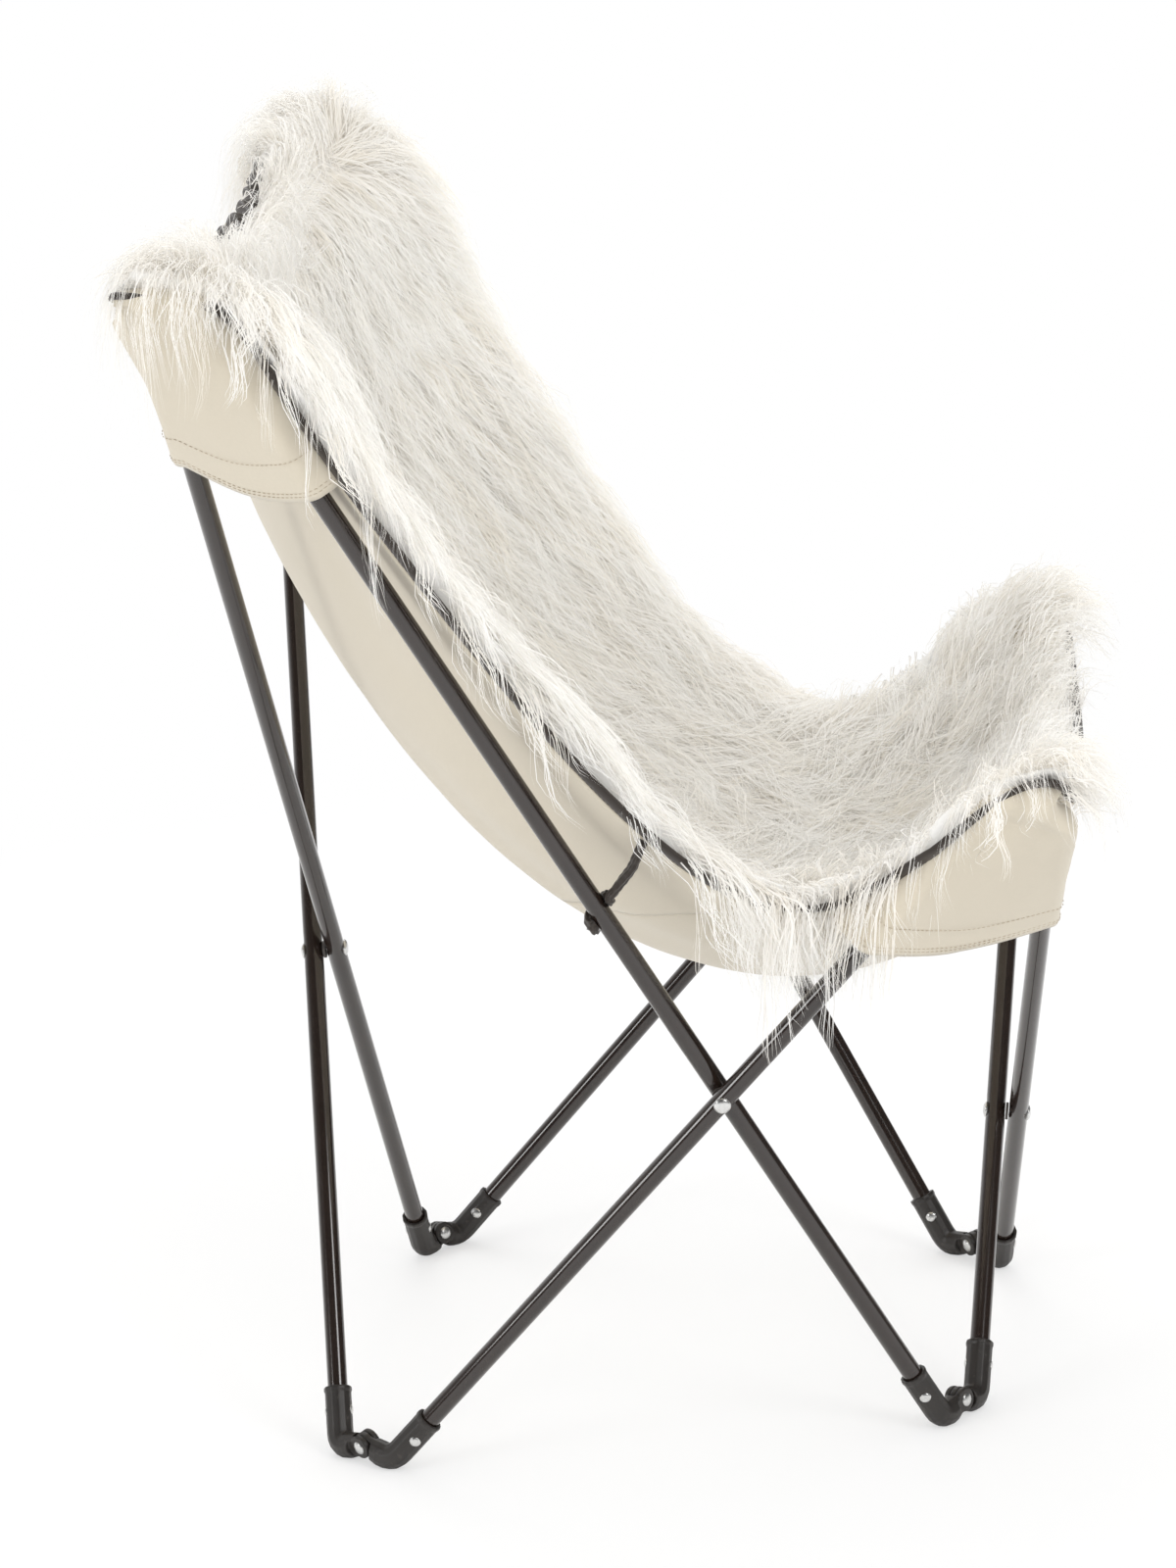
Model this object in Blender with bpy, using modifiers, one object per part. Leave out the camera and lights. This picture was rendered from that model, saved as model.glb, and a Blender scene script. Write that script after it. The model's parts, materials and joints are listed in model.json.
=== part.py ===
"""Folding butterfly chair: eight steel tubes, hinged feet and a fur sling.

Metres, +Z up, floor at z = 0, front of the chair toward -Y, sitter's right
toward -X.  The frame is eight straight tubes in four crossed pairs.  Each foot
is a pair of moulded elbows pinned to one another, and each upper corner is a
pair of capped tube ends that share one canvas pocket of the sling.
"""
import math

import bmesh
import bpy
from mathutils import Vector

# Frame tubes and the corners that they run between
TUBE_D = 0.016            # outside diameter of every frame tube
TUBE_WALL = 0.0012        # tube wall
FOOT_SET = 0.036          # tube end to the corner where two frames meet at a foot
REAR_FOOT_X = 0.2639      # half width between the rear foot corners
REAR_FOOT_Y = 0.2586
FRONT_FOOT_X = 0.1958     # half width between the front foot corners
FRONT_FOOT_Y = -0.2480
LONG_TOP_X = 0.4022       # upper end of a long side tube
LONG_TOP_Y = 0.2871
LONG_TOP_Z = 0.9604
SHORT_TOP_X = 0.2981      # upper end of a short side tube
SHORT_TOP_Y = -0.2404
SHORT_TOP_Z = 0.5037
REAR_TOP_X = 0.3949       # upper end of a rear tube
REAR_TOP_Y = 0.3295
REAR_TOP_Z = 0.9534
FRONT_TOP_X = 0.2764      # upper end of a front tube
FRONT_TOP_Y = -0.3087
FRONT_TOP_Z = 0.5199

# Clearances
CLEAR = 0.0003            # gap between faces that touch in the real chair
PLAY = 0.00005            # radial play of a shank in its hole

# Foot elbows and their hinges
SLEEVE_D = 0.0215         # outside diameter of an elbow
SLEEVE_LEN = 0.048        # elbow mouth above its bend
SLEEVE_BEND = 0.011       # length of the bend on either leg
COLLAR_T = 0.0006         # raised collar around the mouth
COLLAR_LEN = 0.0035
TUBE_START = 0.015        # lower tube end above the bend
FOOT_FLAT = 0.0040        # moulding worn flat where it stands on the floor
PIN_Z = 0.0150            # height of the hinge pins
LUG_R = 0.0099            # radius of a hinge eye
LUG_EDGE = 0.0008         # chamfer around the eye
LUG_GAP = 0.0022          # room around the eye
TONGUE_T = 0.0060         # thickness of a hinge tongue
FORK_T = 0.0160           # thickness across a hinge fork
ARM_TAPER = 0.80          # elbow radius at the pin, as a share of its own
FRONT_PIN_AXIS = (-0.5928, -0.7957, 0.1244)   # right front hinge, a tilted plan diagonal
REAR_PIN_AXIS = (0.7286, -0.6490, 0.2187)     # right rear hinge

# Rivets: shank diameter, head radius and head height
PIVOT_D = 0.0060
PIVOT_HEAD_R = 0.0064
PIVOT_HEAD_H = 0.0026
PIN_D = 0.0050
PIN_HEAD_R = 0.0056
PIN_HEAD_H = 0.0022
FIX_D = 0.0040
FIX_HEAD_R = 0.0044
FIX_HEAD_H = 0.0017
FIX_SET = 0.029           # sleeve rivet above the bend
WASHER_T = 0.0020         # washer between two crossed tubes
WASHER_R = 0.0072

# End caps
CAP_WALL = 0.0010
CAP_LEN = 0.020           # skirt of a cap down its tube
CAP_DOME = 0.0104         # top of a cap above the tube end

# Sling
LINING_T = 0.0020         # canvas
FOLD_H = 0.0040           # height of the lengthwise folds in the belly
FOLD_COUNT = 5            # folds across the belly
FUR_T = 0.030             # depth of the pile in the middle
FUR_EDGE_T = 0.016        # depth of the pile over the binding
FUR_TIP_T = 0.010         # depth of the pile past the edge
FUR_LAP = 0.018           # pile that reaches past the sling's edge
FUR_LIFT = 0.012          # rise of the pile's underside past the edge
BINDING_W = 0.0075        # width of the edge binding
BINDING_T = 0.0052        # thickness of the folded binding
BINDING_DROP = 0.0014     # binding below the underside of the canvas
EDGE_SAG = 0.297          # side edge below its chord
EDGE_LEAN = 0.080         # side edge forward of its chord
EDGE_WAIST = 0.035        # side edge inside its chord
SEAT_SAG = 0.284          # middle line below its chord
SEAT_SET = 0.163          # middle line behind its chord
REAR_EDGE_DROP = 0.035    # middle of the rear edge below its corners
FRONT_EDGE_DROP = 0.060   # middle of the front edge below its corners
FRONT_EDGE_OUT = 0.015    # middle of the front edge ahead of its corners
HOLLOW = 2.55             # power of the cross section, 2 is a parabola
EDGE_SAG_SKEW = (1.20, 1.42)    # powers of each curve toward the rear and toward the front
EDGE_LEAN_SKEW = (1.00, 1.70)
EDGE_WAIST_SKEW = (0.60, 0.80)
SEAT_SAG_SKEW = (1.95, 1.05)
SEAT_SET_SKEW = (1.00, 1.60)
FOLD_SKEW = (3.60, 3.00)
CREASE = 0.56             # seam of back and seat, as a share of the sling's length
SEAM_GAP = 0.0005         # half gap of canvas and binding at the seam, as a share of the length
FUR_SEAM_GAP = 0.0022     # half gap of the pile at the seam, as a share of the length
PANEL_ROWS = 12           # grid of each panel, front to back
PANEL_COLS = 20           # grid of each panel, side to side

# Pockets, strap and label
POCKET_T = 0.0022         # canvas of a pocket
POCKET_ROOM = 0.0080      # pocket above the caps
REAR_HEM = 0.158          # depth of a rear pocket on its long tube
FRONT_HEM = 0.107         # depth of a front pocket on its short tube
REAR_HEM_RISE = 0.022     # hem higher on the crossed tube than on the long one
FRONT_HEM_RISE = 0.006    # hem higher on the crossed tube than on the short one
REAR_CORNER_SHIFT = (-0.028, 0.010, 0.004)    # sling corner off the tip of a rear pocket
FRONT_CORNER_SHIFT = (-0.021, -0.036, 0.0045)    # sling corner off the tip of a front pocket
STRAP_D = 0.0085          # tie strap, rolled
STRAP_V = 0.39            # where the strap is sewn on, as a share of the sling's length
STRAP_DROP = 0.055        # tie on the tube below the sewn end
LABEL_W = 0.018
LABEL_H = 0.014
LABEL_T = 0.0014
LABEL_CELL = (7, 11)      # grid corner of the seat panel that the label hangs from

# Facets of round pieces
TUBE_SIDES = 16
HOLE_SIDES = 9
LUG_SIDES = 14
RIVET_SIDES = 10
CAP_SIDES = 12
POCKET_ARC = 6            # facets around half of a pocket

STEEL = ((0.060, 0.048, 0.040), 0.30, 0.6)
MOULD = ((0.050, 0.042, 0.036), 0.42)
SILVER = ((0.72, 0.72, 0.72), 0.28, 1.0)
NYLON = ((0.10, 0.09, 0.085), 0.55)
CANVAS = ((0.78, 0.73, 0.64), 0.9)
PILE = ((0.90, 0.88, 0.84), 0.95)
SATIN = ((0.035, 0.026, 0.020), 0.45)
LABEL = ((0.45, 0.45, 0.46), 0.8)

X_AXIS = Vector((1, 0, 0))


def flip(v):
    """Mirror a point across the middle plane."""
    return Vector((-v.x, v.y, v.z))


def closest(a, b, c, d):
    """Nearest points of two lines."""
    u, v, w = b - a, d - c, a - c
    uu, uv, vv, uw, vw = u.dot(u), u.dot(v), v.dot(v), u.dot(w), v.dot(w)
    den = uu * vv - uv * uv
    return a + u * ((uv * vw - vv * uw) / den), c + v * ((uu * vw - uv * uw) / den)


def around(radius, sides):
    """Radius of a polygon whose flats clear a circle."""
    return radius / math.cos(math.pi / sides)


def grounded(foot, top, height):
    """A tube's ends with its foot slid along it to a height."""
    up = (top - foot).normalized()
    return foot - up * ((foot.z - height) / up.z), top


def frame_points():
    """Foot bend and upper end of the eight tubes, keyed by short name."""
    foot_z = SLEEVE_D / 2 - FOOT_FLAT
    rear = Vector((REAR_FOOT_X, REAR_FOOT_Y, foot_z))
    front = Vector((FRONT_FOOT_X, FRONT_FOOT_Y, foot_z))
    stack = TUBE_D + WASHER_T + 2 * CLEAR
    # side pair: the short tube stands outside the long one by a washer
    along = (front - rear).normalized() * FOOT_SET
    long_foot, long_top = front - along, Vector((LONG_TOP_X, LONG_TOP_Y, LONG_TOP_Z))
    short_foot, short_top = rear + along, Vector((SHORT_TOP_X, SHORT_TOP_Y, SHORT_TOP_Z))
    n = (long_top - long_foot).cross(short_top - short_foot).normalized()
    if n.x < 0:
        n = -n
    out = n * (stack - (short_foot - long_foot).dot(n))
    short = grounded(short_foot + out, short_top + out, foot_z)
    ends = {"left_long": (long_foot, long_top), "left_short": short}
    ends["right_long"] = tuple(flip(p) for p in ends["left_long"])
    ends["right_short"] = tuple(flip(p) for p in ends["left_short"])
    # rear and front pairs: half a stack before and behind the corners
    rear_top = Vector((REAR_TOP_X, REAR_TOP_Y, REAR_TOP_Z))
    front_top = Vector((FRONT_TOP_X, FRONT_TOP_Y, FRONT_TOP_Z))
    rows = (("rear_outer", rear, rear_top, -1, 1), ("rear_inner", rear, rear_top, 1, -1),
            ("front_inner", front, front_top, -1, 1), ("front_outer", front, front_top, 1, -1))
    for key, foot, top, side, behind in rows:
        rise = Vector((0, top.y - foot.y, top.z - foot.z))
        n = rise.cross(X_AXIS).normalized()
        if n.y < 0:
            n = -n
        step = n * stack / 2 * behind
        low = Vector((side * (foot.x - FOOT_SET), foot.y, foot.z)) + step
        high = Vector((-side * top.x, top.y, top.z)) + step
        ends[key] = grounded(low, high, foot_z)
    return ends


ENDS = frame_points()
CROSS = {"right": ("right_long", "right_short"), "left": ("left_long", "left_short"),
         "rear": ("rear_outer", "rear_inner"), "front": ("front_inner", "front_outer")}
# Foot hinges: tube with the fork, tube with the tongue, pin axis
FEET = {"right_rear": ("rear_outer", "right_short", Vector(REAR_PIN_AXIS)),
        "right_front": ("right_long", "front_inner", Vector(FRONT_PIN_AXIS)),
        "left_rear": ("left_short", "rear_inner", flip(Vector(REAR_PIN_AXIS))),
        "left_front": ("left_long", "front_outer", flip(Vector(FRONT_PIN_AXIS)))}
# Upper corners: the two tube ends that share a pocket
TOPS = {"right_rear": ("right_long", "rear_inner"), "right_front": ("right_short", "front_outer"),
        "left_rear": ("left_long", "rear_outer"), "left_front": ("left_short", "front_inner")}
# Bodies: each tube turns on its parent at a crossing or at a foot
TREE = {"right_long": None,
        "right_short": ("right_long", "cross", "right"),
        "front_inner": ("right_long", "foot", "right_front"),
        "front_outer": ("front_inner", "cross", "front"),
        "left_long": ("front_outer", "foot", "left_front"),
        "rear_outer": ("right_short", "foot", "right_rear"),
        "rear_inner": ("rear_outer", "cross", "rear"),
        "left_short": ("rear_inner", "foot", "left_rear")}


def way(key):
    """Unit vector up a tube."""
    a, b = ENDS[key]
    return (b - a).normalized()


def cross_point(side):
    """Pivot, axis and the two tube points of a crossed pair."""
    i, j = CROSS[side]
    p, q = closest(*ENDS[i], *ENDS[j])
    return (p + q) / 2, (q - p).normalized(), p, q


def hinge_point(foot):
    """Middle of a foot's hinge pin."""
    fork, tongue, _ = FEET[foot]
    mid = (ENDS[fork][0] + ENDS[tongue][0]) / 2
    return Vector((mid.x, mid.y, PIN_Z))


def fold_axis(kind, place):
    """Point and direction of a joint; a positive turn folds the chair."""
    if kind == "foot":
        return hinge_point(place), FEET[place][2].normalized()
    i, j = CROSS[place]
    return cross_point(place)[0], -way(i).cross(way(j)).normalized()


def sleeve_rivet(key):
    """Where a sleeve rivet crosses its tube, and the way it points."""
    other = next(j if i == key else i for i, j in CROSS.values() if key in (i, j))
    return ENDS[key][0] + way(key) * FIX_SET, way(key).cross(way(other)).normalized()


# Scene, bodies and materials

def collection(name):
    coll = bpy.data.collections.new(name)
    bpy.context.scene.collection.children.link(coll)
    return coll


def material(name, rgb, rough, metal=0.0):
    mat = bpy.data.materials.new(name)
    mat.use_nodes = True
    bsdf = mat.node_tree.nodes["Principled BSDF"]
    bsdf.inputs["Base Color"].default_value = (*rgb, 1)
    bsdf.inputs["Roughness"].default_value = rough
    bsdf.inputs["Metallic"].default_value = metal
    mat.diffuse_color = (*rgb, 1)
    return mat


def set_pose(obj, at, axis=None):
    """Put an object at a point, with its local Z along an axis if there is one."""
    obj.location = at
    if axis:
        obj.rotation_mode = "QUATERNION"
        obj.rotation_quaternion = axis.to_track_quat("Z", "Y")


def make_bodies():
    """One empty for each tube's body, on the joint that it turns about."""
    for key, joint in TREE.items():
        pivot = bpy.data.objects.new(key + "_body", None)
        CHAIR.objects.link(pivot)
        BODIES[key] = pivot
        if joint:
            set_pose(pivot, *fold_axis(*joint[1:]))
            bpy.context.view_layer.update()
            pivot.parent = BODIES[joint[0]]
            pivot.matrix_parent_inverse = pivot.parent.matrix_world.inverted()
    bpy.context.view_layer.update()


def part(name, data, look, key):
    """Named object with a material of its own, on the body of a tube."""
    obj = bpy.data.objects.new(name, data)
    CHAIR.objects.link(obj)
    data.materials.append(material(name, *look))
    obj.parent = BODIES[key]
    obj.matrix_parent_inverse = obj.parent.matrix_world.inverted()
    return obj


def cutter(data):
    obj = bpy.data.objects.new("cutter", data)
    CUTTERS.objects.link(obj)
    obj.hide_render = True
    obj.display_type = "WIRE"
    return obj


def combine(obj, other, operation):
    mod = obj.modifiers.new(operation.title(), "BOOLEAN")
    mod.operation = operation
    mod.solver = "MANIFOLD"
    mod.object = other


# Shapes

def cylinder(radius, low, high, sides, caps=True):
    """Cylinder primitive along Z between two heights."""
    bm = bmesh.new()
    bmesh.ops.create_cone(bm, cap_ends=caps, segments=sides, radius1=radius, radius2=radius, depth=high - low)
    bmesh.ops.translate(bm, verts=bm.verts, vec=(0, 0, (high + low) / 2))
    return to_mesh(bm)


def box(x, y, z):
    bm = bmesh.new()
    bmesh.ops.create_cube(bm, size=1.0)
    bmesh.ops.scale(bm, verts=bm.verts, vec=(x, y, z))
    return to_mesh(bm)


def to_mesh(bm):
    mesh = bpy.data.meshes.new("shape")
    bm.to_mesh(mesh)
    bm.free()
    return mesh


def profile(points, closed=False):
    """Profile of (radius, height) points, down its outer side, to be turned about Z."""
    mesh = bpy.data.meshes.new("profile")
    count = len(points)
    edges = [(i, i + 1) for i in range(count - 1)]
    if closed:
        edges.append((count - 1, 0))
    mesh.from_pydata([(r, 0, h) for r, h in points], edges, [])
    return mesh


def turn(obj, sides):
    mod = obj.modifiers.new("Turn", "SCREW")
    mod.steps = mod.render_steps = sides
    mod.use_merge_vertices = True
    mod.merge_threshold = 0.00001
    return obj


def drill(obj, at, axis, radius, low, high, sides=HOLE_SIDES):
    """Cut a round hole or recess between two heights along an axis."""
    tool = cutter(cylinder(radius, low, high, sides))
    set_pose(tool, at, axis)
    combine(obj, tool, "DIFFERENCE")


def pipe(points, radius, resolution, scale=None):
    """Poly curve with a round bevel and filled caps."""
    curve = bpy.data.curves.new("pipe", "CURVE")
    curve.dimensions = "3D"
    curve.bevel_depth = radius
    curve.bevel_resolution = resolution
    curve.use_fill_caps = True
    line = curve.splines.new("POLY")
    line.points.add(len(points) - 1)
    for i, point in enumerate(points):
        line.points[i].co = (*point, 1)
        line.points[i].radius = scale[i] if scale else 1.0
    return curve


def pipe_mesh(*args):
    """A pipe as a welded mesh, so that it can be cut and joined."""
    guide = cutter(pipe(*args))
    graph = bpy.context.evaluated_depsgraph_get()
    mesh = bpy.data.meshes.new_from_object(guide.evaluated_get(graph))
    bpy.data.objects.remove(guide)
    bm = bmesh.new()
    bm.from_mesh(mesh)
    bmesh.ops.remove_doubles(bm, verts=bm.verts, dist=CLEAR / 100)
    bmesh.ops.recalc_face_normals(bm, faces=bm.faces)
    bm.to_mesh(mesh)
    bm.free()
    return mesh


def cloth(rows, cols, place, rolled=False):
    """Open grid moved onto a surface by place(row, column); a rolled one is joined side to side."""
    bm = bmesh.new()
    bmesh.ops.create_grid(bm, x_segments=cols, y_segments=rows, size=1.0)
    for vert in bm.verts:
        vert.co = place(*grid_cell(vert, rows, cols))
    if rolled:
        bmesh.ops.remove_doubles(bm, verts=bm.verts, dist=CLEAR / 100)
        bmesh.ops.recalc_face_normals(bm, faces=bm.faces)
    return to_mesh(bm)


def pad(rows, cols, place, rise):
    """Grid moved onto a surface and extruded; rise is the step up from it at a row and a column."""
    bm = bmesh.new()
    bmesh.ops.create_grid(bm, x_segments=cols, y_segments=rows, size=1.0)
    upper = bmesh.ops.extrude_face_region(bm, geom=bm.faces[:], use_keep_orig=True)["geom"]
    upper = {item for item in upper if isinstance(item, bmesh.types.BMVert)}
    for vert in bm.verts:
        row, col = grid_cell(vert, rows, cols)
        vert.co = place(row, col) + (rise(row, col) if vert in upper else Vector())
    bmesh.ops.recalc_face_normals(bm, faces=bm.faces)
    return to_mesh(bm)


def grid_cell(vert, rows, cols):
    """Row and column of a vertex of a flat grid that spans -1 to 1."""
    return round((vert.co.y + 1) / 2 * rows), round((vert.co.x + 1) / 2 * cols)


def thicken(obj, thickness):
    mod = obj.modifiers.new("Thickness", "SOLIDIFY")
    mod.thickness = thickness
    mod.offset = 1.0
    mod.use_quality_normals = True
    return mod


# Frame

def make_tubes():
    for key, (foot, top) in ENDS.items():
        length = (top - foot).length
        mesh = cylinder(TUBE_D / 2, TUBE_START, length, TUBE_SIDES, caps=False)
        mesh.shade_smooth()
        obj = part(key + "_tube", mesh, STEEL, key)
        set_pose(obj, foot, way(key))
        thicken(obj, TUBE_WALL).offset = -1.0
        side = next(s for s, pair in CROSS.items() if key in pair)
        _, axis, p, q = cross_point(side)
        here = p if CROSS[side][0] == key else q
        drill(obj, here, axis, around(PIVOT_D / 2 + PLAY, HOLE_SIDES), -TUBE_D, TUBE_D)
        at, axis = sleeve_rivet(key)
        drill(obj, at, axis, around(FIX_D / 2 + PLAY, HOLE_SIDES), -TUBE_D, TUBE_D)


def elbow_mesh(key, pin):
    """Elbow from its mouth round the bend to the hinge, about the foot bend."""
    up, arm = way(key), pin - ENDS[key][0]
    reach = arm.length
    arm = arm.normalized()
    collar = 1 + 2 * COLLAR_T / SLEEVE_D
    points = [up * SLEEVE_LEN, up * (SLEEVE_LEN - COLLAR_LEN), up * (SLEEVE_LEN - COLLAR_LEN - COLLAR_T)]
    scale = [collar, collar, 1.0]
    steps = 5
    for i in range(steps + 1):
        t = i / steps
        points.append(up * SLEEVE_BEND * (1 - t) ** 2 + arm * SLEEVE_BEND * t ** 2)
        scale.append(1.0)
    points.append(arm * (reach - LUG_EDGE))
    scale.append(ARM_TAPER)
    return pipe_mesh(points, SLEEVE_D / 2, 4, scale)


def make_elbow(key, foot, fork):
    """Moulded elbow with a forked or a tongued hinge eye."""
    bend, pin, axis = ENDS[key][0], hinge_point(foot), FEET[foot][2].normalized()
    obj = part("%s_foot_%s" % (key, "fork" if fork else "tongue"), elbow_mesh(key, pin), MOULD, key)
    set_pose(obj, bend)
    half = (FORK_T if fork else TONGUE_T) / 2
    rim = LUG_R - LUG_EDGE
    eye = cutter(profile([(0, half), (rim, half), (LUG_R, half - LUG_EDGE), (LUG_R, LUG_EDGE - half),
                          (rim, -half), (0, -half)]))
    turn(eye, TUBE_SIDES)
    set_pose(eye, pin, axis)
    combine(obj, eye, "UNION")
    room = LUG_R + LUG_GAP
    if fork:
        drill(obj, pin, axis, room, -TONGUE_T / 2 - CLEAR, TONGUE_T / 2 + CLEAR, LUG_SIDES)
    drill(obj, pin, axis, room, half, half + SLEEVE_D, LUG_SIDES)
    drill(obj, pin, axis, room, -half - SLEEVE_D, -half, LUG_SIDES)
    drill(obj, pin, axis, around(PIN_D / 2 + PLAY, HOLE_SIDES), -FORK_T, FORK_T)
    bore = around(TUBE_D / 2 + CLEAR, TUBE_SIDES)
    drill(obj, bend, way(key), bore, TUBE_START - CLEAR, 2 * SLEEVE_LEN, TUBE_SIDES)
    at, cross = sleeve_rivet(key)
    drill(obj, at, cross, around(FIX_D / 2 + PLAY, HOLE_SIDES), -SLEEVE_D, SLEEVE_D)
    ground = cutter(box(4 * SLEEVE_D, 4 * SLEEVE_D, SLEEVE_D))
    set_pose(ground, Vector((bend.x, bend.y, -SLEEVE_D / 2)))
    combine(obj, ground, "DIFFERENCE")


def dome(radius, height, base):
    """Outer side of a domed head, from its top down to its rim."""
    return [(0, base + height), (radius * 0.68, base + height * 0.75), (radius, base)]


def make_rivet(name, at, axis, grip, shank, head, rise, key):
    """Rivet with a domed head at each end of its grip."""
    half = grip / 2 + CLEAR
    top = dome(head, rise, half) + [(shank / 2, half)]
    obj = part(name, profile(top + [(r, -h) for r, h in reversed(top)]), SILVER, key)
    turn(obj, RIVET_SIDES)
    set_pose(obj, at, axis)


def make_rivets():
    for foot, (fork, _, axis) in FEET.items():
        place = hinge_point(foot)
        make_rivet(foot + "_hinge_rivet", place, axis, FORK_T, PIN_D, PIN_HEAD_R, PIN_HEAD_H, fork)
    for key in ENDS:
        make_rivet(key + "_sleeve_rivet", *sleeve_rivet(key), SLEEVE_D, FIX_D, FIX_HEAD_R, FIX_HEAD_H, key)
    for side in ("right", "rear", "front"):
        mid, axis, p, q = cross_point(side)
        grip = (q - p).length + TUBE_D
        body = CROSS[side][0]
        make_rivet(side + "_cross_rivet", mid, axis, grip, PIVOT_D, PIVOT_HEAD_R, PIVOT_HEAD_H, body)
        bore, half = around(PIVOT_D / 2 + PLAY, HOLE_SIDES), WASHER_T / 2
        ring = profile([(WASHER_R, half), (WASHER_R, -half), (bore, -half), (bore, half)], closed=True)
        washer = turn(part(side + "_cross_washer", ring, NYLON, CROSS[side][0]), HOLE_SIDES)
        set_pose(washer, mid, axis)


def make_studs():
    """The left crossing: a stud in each tube, with its head outside."""
    _, axis, p, q = cross_point("left")
    reach = TUBE_D / 2 + CLEAR
    for key, at, out in (("left_long", p, -axis), ("left_short", q, axis)):
        side = dome(PIVOT_HEAD_R, PIVOT_HEAD_H, reach) + [(PIVOT_D / 2, reach)]
        end = TUBE_WALL - TUBE_D / 2
        obj = part(key + "_cross_stud", profile(side + [(PIVOT_D / 2, end), (0, end)]), SILVER, key)
        turn(obj, RIVET_SIDES)
        set_pose(obj, at, out)


def make_caps():
    inner = around(TUBE_D / 2 + CLEAR, CAP_SIDES)
    outer = inner + CAP_WALL
    shoulder = CAP_DOME / 5
    crown, brow = outer * 0.45, outer * 0.88
    side = [(0, CAP_DOME), (crown, CAP_DOME), (brow, (CAP_DOME + shoulder) / 2), (outer, shoulder),
            (outer, -CAP_LEN), (inner, -CAP_LEN), (inner, CLEAR), (0, CLEAR)]
    for key, (_, top) in ENDS.items():
        obj = turn(part(key + "_top_cap", profile(side), MOULD, key), CAP_SIDES)
        set_pose(obj, top, way(key))


# Sling

def pocket_axes(corner):
    """Tube ends, directions down the tubes and the mean of those of a corner."""
    i, j = TOPS[corner]
    down_i, down_j = -way(i), -way(j)
    return ENDS[i][1], ENDS[j][1], down_i, down_j, (down_i + down_j).normalized()


def pocket_radius():
    cap = around(TUBE_D / 2 + CLEAR, CAP_SIDES) + CAP_WALL
    return around(cap + 1.5 * CLEAR, 2 * POCKET_ARC)


def pocket_top(corner):
    """Height of a pocket's shoulder from the middle of its tube ends, along the mean of the tubes."""
    p, q, _, _, mean = pocket_axes(corner)
    return -abs((p - q).dot(mean)) / 2 - CAP_DOME - POCKET_ROOM


def sling_corner(corner, shift):
    """Corner of the sling on the left side, off the tip of a pocket."""
    p, q, _, _, mean = pocket_axes(corner)
    tip = (p + q) / 2 + mean * (pocket_top(corner) - pocket_radius() / 2 - POCKET_T)
    return Vector((abs(tip.x), tip.y, tip.z)) + Vector(shift)


def hump(t, before, after):
    """Smooth rise from 0 to 1 and back over t from 0 to 1, skewed by its powers."""
    peak = before / (before + after)
    return (t / peak) ** before * ((1 - t) / (1 - peak)) ** after


REAR_CORNER = sling_corner("right_rear", REAR_CORNER_SHIFT)
FRONT_CORNER = sling_corner("left_front", FRONT_CORNER_SHIFT)
REAR_MIDDLE = Vector((0, REAR_CORNER.y, REAR_CORNER.z - REAR_EDGE_DROP))
FRONT_MIDDLE = Vector((0, FRONT_CORNER.y - FRONT_EDGE_OUT, FRONT_CORNER.z - FRONT_EDGE_DROP))


def sling(u, v):
    """Underside of the sling; u from -1 (right) to 1 (left), v from rear to front."""
    edge = REAR_CORNER.lerp(FRONT_CORNER, v)
    edge.x -= EDGE_WAIST * hump(v, *EDGE_WAIST_SKEW)
    edge.y -= EDGE_LEAN * hump(v, *EDGE_LEAN_SKEW)
    edge.z -= EDGE_SAG * hump(v, *EDGE_SAG_SKEW)
    middle = REAR_MIDDLE.lerp(FRONT_MIDDLE, v)
    middle.y += SEAT_SET * hump(v, *SEAT_SET_SKEW)
    middle.z -= SEAT_SAG * hump(v, *SEAT_SAG_SKEW)
    point = middle.lerp(edge, abs(u) ** HOLLOW)
    point.x = edge.x * u
    belly = hump(v, *FOLD_SKEW) * (1 - u * u)
    point.z -= FOLD_H * belly * math.cos(2 * math.pi * FOLD_COUNT * (u + 1) / 2)
    return point


def sling_normal(u, v):
    """Unit normal of the sling, toward the sitter."""
    h = 0.004
    du = sling(min(u + h, 1), v) - sling(max(u - h, -1), v)
    dv = sling(u, min(v + h, 1)) - sling(u, max(v - h, 0))
    return dv.cross(du).normalized()


def edge_out(u, v):
    """Unit vector out of the sling at an edge point, in the cloth and square to the edge."""
    h = 0.01
    out = Vector((0, 0, 0))
    if abs(u) == 1:
        along = (sling(u, min(v + h, 1)) - sling(u, max(v - h, 0))).normalized()
        away = sling(u, v) - sling(u - u * h, v)
        out += (away - along * away.dot(along)).normalized()
    if v in (0, 1):
        along = (sling(min(u + h, 1), v) - sling(max(u - h, -1), v)).normalized()
        away = sling(u, v) - sling(u, h if v == 0 else 1 - h)
        out += (away - along * away.dot(along)).normalized()
    return out.normalized()


def stations(panel, gap=SEAM_GAP):
    """Shares of the sling's length at a panel's rows, front row first."""
    start, end = (0.0, CREASE - gap) if panel == "back" else (CREASE + gap, 1.0)
    return [end + (start - end) * i / PANEL_ROWS for i in range(PANEL_ROWS + 1)]


def columns():
    return [2 * j / PANEL_COLS - 1 for j in range(PANEL_COLS + 1)]


def make_lining(panel, key):
    vs, us = stations(panel), columns()
    mesh = cloth(PANEL_ROWS, PANEL_COLS, lambda i, j: sling(us[j], vs[i]))
    obj = part(panel + "_canvas_lining", mesh, CANVAS, key)
    thicken(obj, LINING_T)


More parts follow.
